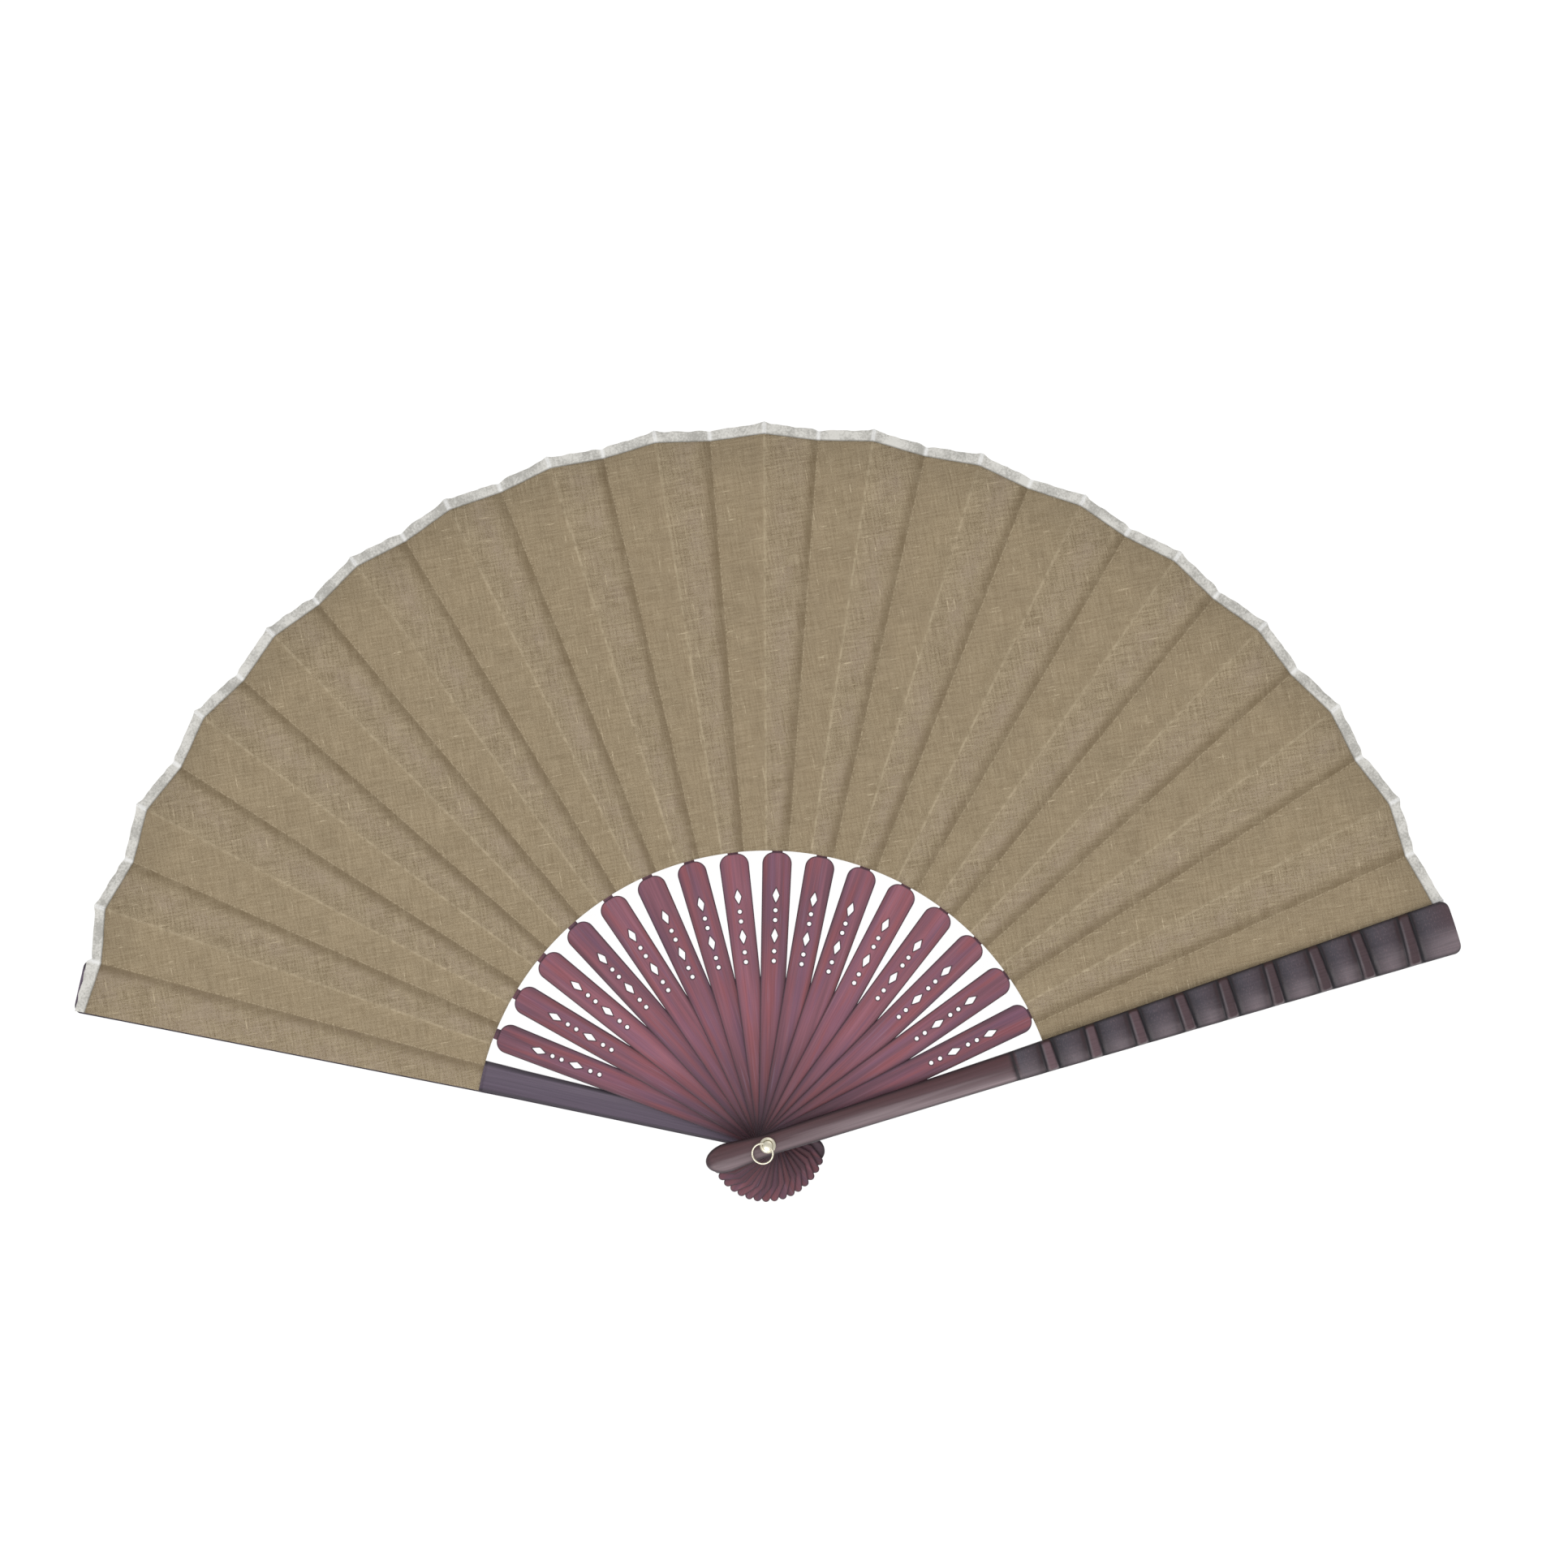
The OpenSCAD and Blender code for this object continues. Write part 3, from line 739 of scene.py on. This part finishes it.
def make_binding_piece(k):
    """The tape over the linen's edge: a flat round-nosed loop carried along the edge."""
    sizes = bpy.context.scene.fan_sizes
    p = fold_columns(k, 15)[:, None]
    edge = edge_reach(k, p)
    arc = np.radians(FIRST_ANGLE - k * STEP) - p * 0.08
    # The first panel's tape is not pinched: it widens to the valley fold and ends there in a step
    widening = (k == 0) * (1 - smooth_step(p, 0.97, 1.05))
    pinch = (k < LAST) * (1 - widening) * np.exp(-(((p - 1) / 0.09) ** 2))
    wave = ripple(edge * arc / 1.6, edge * arc / 4.0, 1.0)
    # Spare tape stands up in a small bump at each mountain fold
    bump = BINDING_BUMP * np.exp(-((np.minimum(p, 2 - p) / 0.07) ** 2))
    width = sizes.binding_width / MM - sizes.binding_pinch / MM * pinch + BINDING_WAVE * wave + bump
    width = width + widening * (1.3 * p - 0.2 - bump)
    # Across the tape: share of its width past the linen's edge, and height
    turn = np.linspace(-0.5, 0.5, 7) * np.pi
    nose = np.stack([0.93 + 0.07 * np.cos(turn), 0.17 * np.sin(turn)], -1)
    over = np.array([[0.7, 0.185], [0.4, 0.19], [0.1, 0.18], [-0.1, 0.17], [-0.17, 0.13]])
    under = over[::-1] * (1, -1)
    loop = np.concatenate([nose, over, under])
    d, h = loop[:, 0][None, :], loop[:, 1][None, :]
    r = edge + np.where(d > 0, d * width, d * BINDING_LAP)
    columns = np.broadcast_to(p, r.shape)
    angle, z, turned_share = leaf_lie(k, columns, np.broadcast_to(edge, r.shape))
    # The tape puckers a little between its stitches
    z = z + h + PUCKER * np.clip(d, 0, 1) * ripple(r * arc / 1.3, r / 2.0, 2.0)
    points = polar(r, angle, z)
    attributes = leaf_attributes(k, angle, r, np.broadcast_to(d * 2.4, r.shape))
    wall, ends = tube_faces(*r.shape)
    placed = on_stick(k, points)
    piece = make_piece(f"binding_{k:02d}", placed, wall + ends, finish_of("binding"), attributes)
    set_turn(piece, k, turned_share)
    nodes = [panel_name(k)] + ([f"leaf_pleat_{k + 1:02d}"] if k < LAST else [])
    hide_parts(*nodes)
    return piece


# ---------------------------------------------------------------- ribs

BLADE_THICK = 0.8
SLIP_THICK = 0.35
SHOULDER = 86.0
SHOULDER_HALF = 4.35
SHOULDER_ROUND = 3.4
WAIST_HALF = 2.9
TAIL_WIDEST = 12.5
TAIL_HALF = 3.6
TAIL_REACH = 17.5
TAIL_POINT = 1.2
BORE_R = 1.45
LOZENGES = (73.2, 61.3)
LOZENGE_HALF = (2.05, 0.95)
DOTS = (68.8, 65.9, 56.7, 53.8)
DOT_R = 0.6
# Width of the dark line along a rib's edges: gathered dye and painted shade
EDGE_DARK_WIDTH = 0.38
# How red each rib took the dye, from 0, dark, to 1
RIB_HUES = (0.2, 0.45, 0.8, 0.4, 0.65, 0.5, 0.45, 0.8, 0.4, 0.35, 0.5, 0.9, 0.7, 0.6, 0.45, 0.15)


def arc_points(x, y, radius, start, end, count):
    """Points of an arc, its angles in degrees."""
    a = np.radians(np.linspace(start, end, count))
    return np.stack([x + radius * np.cos(a), y + radius * np.sin(a)], -1)


def straight(a, b, pitch=4.0):
    """Points from a towards b, without b, about a pitch apart."""
    a, b = np.asarray(a, float), np.asarray(b, float)
    count = max(1, round(np.linalg.norm(b - a) / pitch))
    return a + (b - a) * np.arange(count)[:, None] / count


def blade_loop():
    """Anticlockwise outline of a rib's blade: pointed tail, waist, and shoulder with round corners."""
    corner = SHOULDER - SHOULDER_ROUND
    tail_x = TAIL_REACH - TAIL_POINT
    run, rise = tail_x - TAIL_WIDEST, TAIL_HALF
    touch = math.degrees(math.atan2(rise, -run) - math.acos(TAIL_POINT / math.hypot(run, rise)))
    tail = arc_points(-tail_x, 0, TAIL_POINT, 180 - touch, 180 + touch, 13)
    right = arc_points(corner, -(SHOULDER_HALF - SHOULDER_ROUND), SHOULDER_ROUND, -90, 0, 13)
    left = arc_points(corner, SHOULDER_HALF - SHOULDER_ROUND, SHOULDER_ROUND, 0, 90, 13)
    return np.concatenate(
        [
            tail[:-1],
            straight(tail[-1], (-TAIL_WIDEST, -TAIL_HALF), 1.5),
            straight((-TAIL_WIDEST, -TAIL_HALF), (0, -WAIST_HALF)),
            straight((0, -WAIST_HALF), right[0]),
            right,
            left,
            straight(left[-1], (0, WAIST_HALF))[1:],
            straight((0, WAIST_HALF), (-TAIL_WIDEST, TAIL_HALF)),
            straight((-TAIL_WIDEST, TAIL_HALF), tail[0], 1.5),
        ]
    )


def lozenge_loop(x):
    """Clockwise outline of a lozenge hole with slightly soft corners: |x/a|^1.1 + |y/b|^1.1 = 1."""
    a = -np.linspace(0, TAU, 25)[:-1]
    power = 2 / 1.1
    c, s = np.cos(a), np.sin(a)
    half_long, half_wide = LOZENGE_HALF
    across = np.sign(s) * np.abs(s) ** power * half_wide
    return np.stack([x + np.sign(c) * np.abs(c) ** power * half_long, across], -1)


def round_loop(x, radius, count):
    """Clockwise outline of a round hole."""
    return arc_points(x, 0, radius, 0, -360, count + 1)[:-1]


def shrunk(loop, distance):
    """A loop moved to its left by a distance, mitred at its corners: into a plate from its edge."""
    before, after = loop - np.roll(loop, 1, 0), np.roll(loop, -1, 0) - loop
    before /= np.linalg.norm(before, axis=1)[:, None]
    after /= np.linalg.norm(after, axis=1)[:, None]
    left_a, left_b = before[:, ::-1] * (-1, 1), after[:, ::-1] * (-1, 1)
    middle = left_a + left_b
    middle /= np.linalg.norm(middle, axis=1)[:, None]
    mitre = np.clip((middle * left_a).sum(1), 0.5, 1)
    return loop + middle * (distance / mitre)[:, None]


def plate(loops, low, high, bevel, dark_width):
    """A flat plate with holes from its outlines, its edges rounded.

    Each outline becomes seven rings, from inside the bottom face round the edge to inside the top
    face, and the two faces are filled between the innermost rings. Gives points, faces and, for each
    point, how close it is to an edge.
    """
    # Each ring: distance into the plate, height, nearness to the edge
    rings = [
        (bevel + dark_width, low, 0.0),
        (bevel, low, 1.0),
        (0.3 * bevel, low + 0.3 * bevel, 1.0),
        (0.0, low + bevel, 1.0),
        (0.0, high - bevel, 1.0),
        (0.3 * bevel, high - 0.3 * bevel, 1.0),
        (bevel, high, 1.0),
        (bevel + dark_width, high, 0.0),
    ]
    points, rim, faces, bottoms, tops = [], [], [], [], []
    start = 0
    for loop in loops:
        count = len(loop)
        for inset, z, near in rings:
            flat = shrunk(loop, inset)
            points.append(np.column_stack([flat, np.full(count, z)]))
            rim.append(np.full(count, near))
        faces += [[start + i for i in face] for face in grid_faces(len(rings), count, closed=True)]
        bottoms.append(list(range(start, start + count)))
        top = start + (len(rings) - 1) * count
        tops.append(list(range(top, top + count)))
        start += len(rings) * count
    points, rim = np.concatenate(points), np.concatenate(rim)
    for rows, up in ((bottoms, False), (tops, True)):
        order = [i for row in rows for i in row]
        filled = tessellate_polygon([[Vector(points[i]) for i in row] for row in rows])
        for face in filled:
            corners = points[[order[i] for i in face]]
            turn = np.cross(corners[1] - corners[0], corners[2] - corners[0])[2]
            face = [order[i] for i in face]
            faces.append(face if (turn > 0) == up else face[::-1])
    return points, faces, rim


def make_rib(k):
    """A pierced blade with the thin slip that runs on under the leaf."""
    sizes = bpy.context.scene.fan_sizes
    low = low_z(f"rib_{k:02d}")
    bevel = sizes.blade_bevel / MM
    holes = [lozenge_loop(x) for x in LOZENGES] + [round_loop(x, DOT_R, 18) for x in DOTS]
    loops = [blade_loop(), round_loop(0, BORE_R, 28)] + holes
    blade, blade_faces, blade_rim = plate(loops, low, low + BLADE_THICK, bevel, EDGE_DARK_WIDTH)
    root, end = (SHOULDER - 3, -SLIP_ROOT_HALF), (SLIP_REACH, -SLIP_END_HALF)
    far = arc_points(SLIP_REACH - 0.6, 0, SLIP_END_HALF, -75, 75, 9)
    slip_outline = np.concatenate(
        [straight(root, end, 8.0)[:-1], far, (straight(root, end, 8.0)[:-1] * (1, -1))[::-1]]
    )
    slip, slip_faces, slip_rim = plate([slip_outline], low, low + SLIP_THICK, 0.07, 0.2)
    points = np.concatenate([blade, slip])
    faces = blade_faces + [[len(blade) + i for i in face] for face in slip_faces]
    # The slip's edge is dark like the blade's, gathered dye and painted shade, darkest at its stub beside
    # the shoulder
    edge_dye_and_shade = np.where(slip[:, 0] < SHOULDER + 3, 0.85, 0.25)
    rim = np.concatenate([blade_rim, slip_rim * 0.1 + edge_dye_and_shade])
    lay = points - (0, 0, low)
    mark = np.stack([rim, np.full_like(rim, RIB_HUES[k - 1]), np.full_like(rim, k)], -1)
    piece = make_piece(
        f"bamboo_rib_{k:02d}", on_stick(k, points), faces, finish_of("rib"), {"lay": lay, "mark": mark}
    )
    for polygon in piece.data.polygons:
        if len(polygon.vertices) == 3:
            polygon.use_smooth = False
    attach(piece, f"rib_{k:02d}")
    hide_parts(f"rib_{k:02d}")
    return piece


# ---------------------------------------------------------------- guards

GUARD_THICK = 3.6
HANDLE_THICK = 2.8
HEAD_WIDEST = 12.0
HEAD_REACH = 19.0
HEAD_HALF = 4.25
HANDLE_CROWN = 7.5
CARVING_CROWN = 20.0
CARVING_TOP = 3.75
TIP_ROUND = 2.5
# The back guard's head and tip keep these shares of their length, the tip from this distance on
BACK_HEAD_SHARE = 0.75
BACK_TIP_SHARE = 0.89
BACK_TIP_FROM = 194.0
BACK_GRAIN = 400
FILL_END = 86.4
FIRST_LAND = 86.7
LAND_PITCH = 13.9
LAND_HALF = 1.0
LAND_COUNT = 9
LAND_END_INSET = 0.9
WASHER_R = 2.45


def guard_outline(x):
    """Half a guard's width with its ends: an elliptical head, and a tip with round corners."""
    half = guard_half(x)
    back = GUARD_WAIST / 2 + (HEAD_HALF - GUARD_WAIST / 2) * np.clip(-x / HEAD_WIDEST, 0, 1) ** 1.3
    half = np.where(x < 0, back, half)
    past = np.clip((-x - HEAD_WIDEST) / (HEAD_REACH - HEAD_WIDEST), 0, 1)
    half = np.where(x < -HEAD_WIDEST, HEAD_HALF * np.sqrt(1 - past**2), half)
    corner = np.clip((x - (GUARD_REACH - TIP_ROUND)) / TIP_ROUND, 0, 1)
    return half - TIP_ROUND * (1 - np.sqrt(1 - corner**2))


def smooth_step(value, low, high):
    """0 below low, 1 above high, and a smooth S between."""
    t = np.clip((value - low) / (high - low), 0, 1)
    return t * t * (3 - 2 * t)


def carved_depth(x, y, half):
    """How deep the back is cut at (x, y), and how much of that is land, field, groove and chamfer; the
    groove mask carries painted shade, the field mask partly so, and the chamfer mask a painted highlight.

    Each land is a rounded bar across the guard. Outside it the cut drops into a groove and comes up to
    a scraped field, which climbs slowly towards the tip; the handle's side of a land is cut less
    steeply than the tip's.
    """
    sizes = bpy.context.scene.fan_sizes
    groove_cut, field_cut = sizes.groove_depth / MM, sizes.scrape_depth / MM
    i = np.clip(np.round((x - FIRST_LAND) / LAND_PITCH), 0, LAND_COUNT - 1)
    # Cut by hand: each land sits, leans and tapers a little differently
    s = x - FIRST_LAND - i * LAND_PITCH - 0.35 * np.sin(2.3 * i + 1) - y * 0.04 * np.sin(1.7 * i)
    s = s * (1 + 0.12 * np.sin(3.1 * i)) * (1 + 0.012 * y)
    soft = 0.5
    out_x = np.maximum(np.abs(s) - LAND_HALF + soft, 0)
    out_y = np.maximum(np.abs(y) - (half - LAND_END_INSET) + soft, 0)
    d = np.maximum(np.hypot(out_x, out_y) - soft, 0)
    d = np.where(s < 0, d * 0.78, d)
    fall = smooth_step(d, 0.05, 1.0)
    rise = smooth_step(d, 1.0, 2.4)
    # From the tip side of a land the field climbs slowly to the next land
    climb = (s + np.where(s < 0, LAND_PITCH, 0) - LAND_HALF) / (LAND_PITCH - 2 * LAND_HALF)
    cut = groove_cut * fall - (groove_cut - field_cut + 0.34 * (climb - 0.4)) * rise
    start = CARVING_START + 0.9
    entry = np.exp(-(((x - start) / 0.8) ** 2))
    cut = np.maximum(cut * smooth_step(x, CARVING_START, CARVING_START + 1.5), 0.9 * entry)
    carved = x > CARVING_START
    land = (1 - smooth_step(d, 0.0, 0.5)) * carved
    field = smooth_step(d, 1.2, 2.2) * smooth_step(x, start + 0.5, start + 1.5)
    # Painted shade beside a land: dark and narrow on its tip side, fading slowly over the field on both
    along = np.abs(s) - LAND_HALF
    shade_beside_land = np.exp(-(((along - 0.9) / 0.6) ** 2)) * np.where(s > 0, 0.8, 0.4)
    shade_beside_land = shade_beside_land + np.exp(-(((along - 1.2) / 2.6) ** 2)) * smooth_step(along, 0.0, 0.8) * 0.6
    # The groove mask carries this painted shade, and the carving's entry cut is painted dark too
    groove = np.clip(shade_beside_land, 0, 1) * carved
    groove = groove * smooth_step(x, start + 1, start + 2)
    groove = np.maximum(groove, entry * 0.95)
    # The chamfer mask is a painted highlight on the gently cut slope at a land's handle side
    chamfer = np.exp(-(((along - 0.5) / 0.4) ** 2)) * (s < 0) * carved
    chamfer = chamfer * (1 - smooth_step(-y / half, 0.2, 0.8)) * (1 - smooth_step(y / half, 0.7, 0.9))
    # Field tone is strongest just past a land and fades towards the next: painted shade low in the scooped
    # field
    field = field * (1.25 - 0.75 * np.clip(climb, 0, 1))
    return cut, land, field, groove, chamfer


def guard_surface(fill):
    """A guard along +X, its carved back up: cross-sections at stations along it, closed round.

    A section is flat below, upright at its sides and crowned above: the back's height at y is that of
    a circle's top, R - sqrt(R^2 - y^2) below the crown, less the carving.
    """
    ends = np.linspace(0, 1, 16) ** 2
    head = -HEAD_REACH + 5.0 * ends
    shaft = np.arange(-13.4, CARVING_START - 0.4, 1.1)
    carving = np.arange(CARVING_START - 0.3, GUARD_REACH - 2.6, 0.34)
    tip = GUARD_REACH - 2.5 * ends[::-1]
    x = np.concatenate([head, shaft, carving, tip])
    half = np.maximum(guard_outline(x), 0.05)
    # Around a section: share of the half width, and which part it is
    across = np.linspace(-1, 1, 37)
    top_y = half[:, None] * across[::-1][None, :]
    past = np.clip((-x - HEAD_WIDEST + 2) / (HEAD_REACH - HEAD_WIDEST + 2), 0, 1)[:, None]
    ends_low = (1 - past**3) ** 0.6
    handle = HANDLE_THICK + (GUARD_THICK - HANDLE_THICK) * np.clip(x, 0, None)[:, None] / CARVING_START
    handle_top = handle - HANDLE_CROWN + np.sqrt(np.maximum(HANDLE_CROWN**2 - top_y**2, 0))
    handle_top = 0.5 + (handle_top - 0.5) * ends_low
    carving_top = CARVING_TOP - CARVING_CROWN + np.sqrt(CARVING_CROWN**2 - top_y**2)
    cut, land, field, groove, chamfer = carved_depth(
        np.broadcast_to(x[:, None], top_y.shape), top_y, half[:, None]
    )
    blend = smooth_step(x, CARVING_START - 0.4, CARVING_START + 1.2)[:, None]
    top = handle_top * (1 - blend) + carving_top * blend - cut
    # Back and front washers sit on a flat
    near_rivet = np.hypot(x[:, None], top_y) < WASHER_R + 0.3
    top = np.where(near_rivet, np.minimum(top, HANDLE_THICK), top)
    top = np.minimum(top, GUARD_THICK)
    # Rounded edge between the back and the sides
    edge = np.clip((half[:, None] - np.abs(top_y)) / 0.7, 0, 1)
    top = top - 0.45 * (1 - np.sqrt(1 - (1 - edge) ** 2))
    # Rounded end at the tip
    last = np.clip((x[:, None] - (GUARD_REACH - 0.8)) / 0.8, 0, 1)
    top = top - 0.6 * (1 - np.sqrt(1 - last**2))
    floor_z = np.where(x < FILL_END, -fill, 0.0)[:, None]
    below = np.linspace(-1, 1, 13)[None, :]
    bottom_y = half[:, None] * below
    corner = np.clip((np.abs(below) - 0.94) / 0.06, 0, 1)
    bottom = floor_z + 0.18 * corner
    sides = [0.35, 0.7]
    right = [(half[:, None], bottom[:, -1:] + (top[:, :1] - bottom[:, -1:]) * t) for t in sides]
    left = [(-half[:, None], bottom[:, :1] + (top[:, -1:] - bottom[:, :1]) * t) for t in sides[::-1]]
    y = np.concatenate([bottom_y] + [a for a, _ in right] + [top_y] + [a for a, _ in left], 1)
    z = np.concatenate([bottom] + [b for _, b in right] + [top] + [b for _, b in left], 1)
    points = np.stack([np.broadcast_to(x[:, None], y.shape), y, z], -1)
    first, count = 13 + len(sides), top_y.shape[1]

    def all_round(values, elsewhere=0.0):
        """Values on the back, and one value everywhere else round the section."""
        spread = np.full(y.shape, elsewhere)
        spread[:, first : first + count] = values
        return spread

    # Painted shade: the back darkens towards its edges, the sides and the bottom's corners are dark, and the
    # head's rounded end darkens
    rim = all_round(np.clip(1.1 - (half[:, None] - np.abs(top_y)) / 0.9, 0, 1), 0.8)
    rim[:, 2:11] = 0
    rim = np.maximum(rim, np.broadcast_to(smooth_step(-x, 17.0, 18.6)[:, None] * 0.6, y.shape))
    inside = np.zeros(y.shape)
    inside[:, :13] = 0.85
    carving_values = np.stack([all_round(land), all_round(field), all_round(groove)], -1)
    marks = np.stack([rim, all_round(chamfer), inside], -1)
    wall, ends = tube_faces(*y.shape)
    return points.reshape(-1, 3), wall + ends, {"carving": carving_values, "mark": marks}


def make_guard(name):
    """The front guard lies with its carved back up, and the back guard is the same turned over."""
    front = name == "front_guard"
    height = low_z(panel_name(LAST)) + 0.2 if front else low_z(panel_name(0))
    fill = 0.25 if front else 0.5
    points, faces, attributes = guard_surface(fill)
    # The back guard reads another stretch of the wood
    attributes["lay"] = points + (0, 0, 0 if front else BACK_GRAIN)
    if not front:
        # It is the shorter one, at its head and at its tip
        x = points[:, 0]
        x = np.where(x < -HEAD_WIDEST, (x + HEAD_WIDEST) * BACK_HEAD_SHARE - HEAD_WIDEST, x)
        tip = (x - BACK_TIP_FROM) * BACK_TIP_SHARE + BACK_TIP_FROM
        points[:, 0] = np.where(x > BACK_TIP_FROM, tip, x)
        points = points * (1, 1, -1)
        faces = [face[::-1] for face in faces]
    placed = on_stick(LAST if front else 0, points + (0, 0, height))
    piece = make_piece(f"bamboo_{name}", placed, faces, finish_of("guard"), attributes)
    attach(piece, name)
    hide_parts(name)
    return piece


# ---------------------------------------------------------------- rivet and ring

WASHER_THICK = 0.8
RING_HOLE_Z = 24.25
RING_R = 3.05
RING_WIRE_R = 0.28
RING_OFFSET = 2.88
RING_HEADING = 235.0
RING_SLOPE = 12.0
# The wire's ends stop this many degrees round from its far side
RING_END = 174.0


def make_washer(name, upward):
    """A dished washer: one closed profile turned about the rivet's axis."""
    low = low_z(name)
    # Radius and height round the washer's wall, from the bore's foot anticlockwise
    wall_r = [BORE_R, 2.2, 2.38, WASHER_R, 2.43, 2.3, 2.0, 1.75, BORE_R]
    wall_z = [0, 0, 0.05, 0.2, 0.38, 0.55, 0.72, 0.79, WASHER_THICK]
    a = np.linspace(0, TAU, 65)[:-1][:, None]
    radius, z = np.array([wall_r]), np.array([wall_z])
    z = low + (z if upward else WASHER_THICK - z)
    points = np.stack([radius * np.cos(a), radius * np.sin(a), z + 0 * a], -1)
    faces = grid_faces(len(points) + 1, len(wall_r), closed=True)
    wrapped = [[i % (len(points) * len(wall_r)) for i in face] for face in faces]
    if not upward:
        wrapped = [face[::-1] for face in wrapped]
    piece = make_piece(f"metal_{name}", points, wrapped, finish_of("metal"))
    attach(piece, "back_guard")
    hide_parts(name)
    return piece


def make_ring():
    """Round wire carried along most of a circle, its two ends turned in inside the rivet's cross hole."""
    a = np.radians(np.linspace(-RING_END, RING_END, 97))[:, None]
    b = np.linspace(0, TAU, 21)[:-1][None, :]
    # The wire thins to a rounded end over its last few degrees
    left = np.clip((np.radians(RING_END) - np.abs(a)) / np.radians(4), 0, 1)
    wire_r = RING_WIRE_R * np.maximum(np.sqrt(1 - (1 - left) ** 2), 0.02)
    radius = RING_R + wire_r * np.cos(b)
    x, y, z = radius * np.cos(a) + RING_OFFSET, radius * np.sin(a), wire_r * np.sin(b)
    slope = math.radians(RING_SLOPE)
    down, along = math.sin(slope), math.cos(slope)
    tipped = np.stack([x * along + z * down, y, z * along - x * down], -1)
    placed = turned(tipped, RING_HEADING) + (0, 0, RING_HOLE_Z)
    wall, ends = tube_faces(*placed.shape[:2])
    faces = wall + [end[::-1] for end in ends]
    piece = make_piece("metal_ring", placed, faces, finish_of("metal"))
    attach(piece, "tassel_ring")
    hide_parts("tassel_ring")
    return piece


# ---------------------------------------------------------------- operators


class FAN_OT_leaf(bpy.types.Operator):
    """Makes the pleated linen leaf and the binding along its edge"""

    bl_idname = "fan.leaf"
    bl_label = "Leaf and binding"

    def execute(self, context):
        for k in range(LAST + 1):
            piece = make_leaf_piece(k)
            make_binding_piece(k)
        return {"FINISHED"}


class FAN_OT_ribs(bpy.types.Operator):
    """Makes the pierced ribs"""

    bl_idname = "fan.ribs"
    bl_label = "Ribs"

    def execute(self, context):
        for k in range(1, LAST):
            make_rib(k)
        return {"FINISHED"}


class FAN_OT_guards(bpy.types.Operator):
    """Makes the two carved guards"""

    bl_idname = "fan.guards"
    bl_label = "Guards"

    def execute(self, context):
        make_guard("back_guard")
        make_guard("front_guard")
        return {"FINISHED"}


class FAN_OT_rivet(bpy.types.Operator):
    """Makes the washers and the ring, and gives the rivet its metal"""

    bl_idname = "fan.rivet"
    bl_label = "Rivet, washers and ring"

    def execute(self, context):
        make_washer("back_washer", upward=False)
        make_washer("front_washer", upward=True)
        make_ring()
        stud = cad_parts["rivet"]
        for slot in stud.material_slots:
            slot.material = finish_of("metal")
        return {"FINISHED"}


class FAN_OT_stage(bpy.types.Operator):
    """Makes the floor, the soft lights and the camera"""

    bl_idname = "fan.stage"
    bl_label = "Stage"

    def execute(self, context):
        scene = context.scene
        side = 4000.0
        corners = np.array([[-1, -1, 0], [1, -1, 0], [1, 1, 0], [-1, 1, 0]]) * side / 2 - (0, 0, 0.05)
        make_piece("floor", corners, [[0, 1, 2, 3]], finish_of("floor"))

        world = bpy.data.worlds.new("Soft white room")
        world.use_nodes = True
        world.node_tree.nodes["Background"].inputs["Color"].default_value = (1, 1, 1, 1)
        world.node_tree.nodes["Background"].inputs["Strength"].default_value = 0.76
        scene.world = world
        for name, place, size, power in (
            ("key_softbox", (-0.25, -0.75, 1.1), 0.9, 7.0),
            ("fill_softbox", (0.5, 0.9, 1.2), 1.0, 2.5),
        ):
            lamp = bpy.data.lights.new(name, "AREA")
            lamp.size = size
            lamp.energy = power
            held = bpy.data.objects.new(name, lamp)
            held.location = place
            held.rotation_euler = (Vector((0, 0.1, 0)) - Vector(place)).to_track_quat("-Z", "Y").to_euler()
            scene.collection.objects.link(held)

        camera = bpy.data.cameras.new("camera")
        camera.sensor_width = 36
        camera.lens = 115.5
        shown = bpy.data.objects.new("camera", camera)
        shown.location = (9.42 * MM, 105.79 * MM, 1.5)
        shown.rotation_euler = (0, 0, math.radians(-2.5))
        scene.collection.objects.link(shown)
        scene.camera = shown
        scene.view_settings.view_transform = "Standard"
        return {"FINISHED"}


class FAN_PT_panel(bpy.types.Panel):
    """Lists the fan's sizes, colours and steps"""

    bl_idname = "FAN_PT_panel"
    bl_label = "Folding fan"
    bl_space_type = "VIEW_3D"
    bl_region_type = "UI"
    bl_category = "Fan"

    def draw(self, context):
        for group in (context.scene.fan_sizes, context.scene.fan_colours):
            box = self.layout.box()
            for name in group.__annotations__:
                box.prop(group, name)
        for step in STEPS:
            self.layout.operator(step.bl_idname)


STEPS = (FAN_OT_leaf, FAN_OT_ribs, FAN_OT_guards, FAN_OT_rivet, FAN_OT_stage)
CLASSES = (FanSizes, FanColours, *STEPS, FAN_PT_panel)


def register():
    for made in CLASSES:
        bpy.utils.register_class(made)
    bpy.types.Scene.fan_sizes = bpy.props.PointerProperty(type=FanSizes)
    bpy.types.Scene.fan_colours = bpy.props.PointerProperty(type=FanColours)


def unregister():
    del bpy.types.Scene.fan_colours
    del bpy.types.Scene.fan_sizes
    for made in reversed(CLASSES):
        bpy.utils.unregister_class(made)


def main():
    register()
    bpy.ops.fan.leaf()
    bpy.ops.fan.ribs()
    bpy.ops.fan.guards()
    bpy.ops.fan.rivet()
    bpy.ops.fan.stage()


if __name__ == "__main__":
    main()
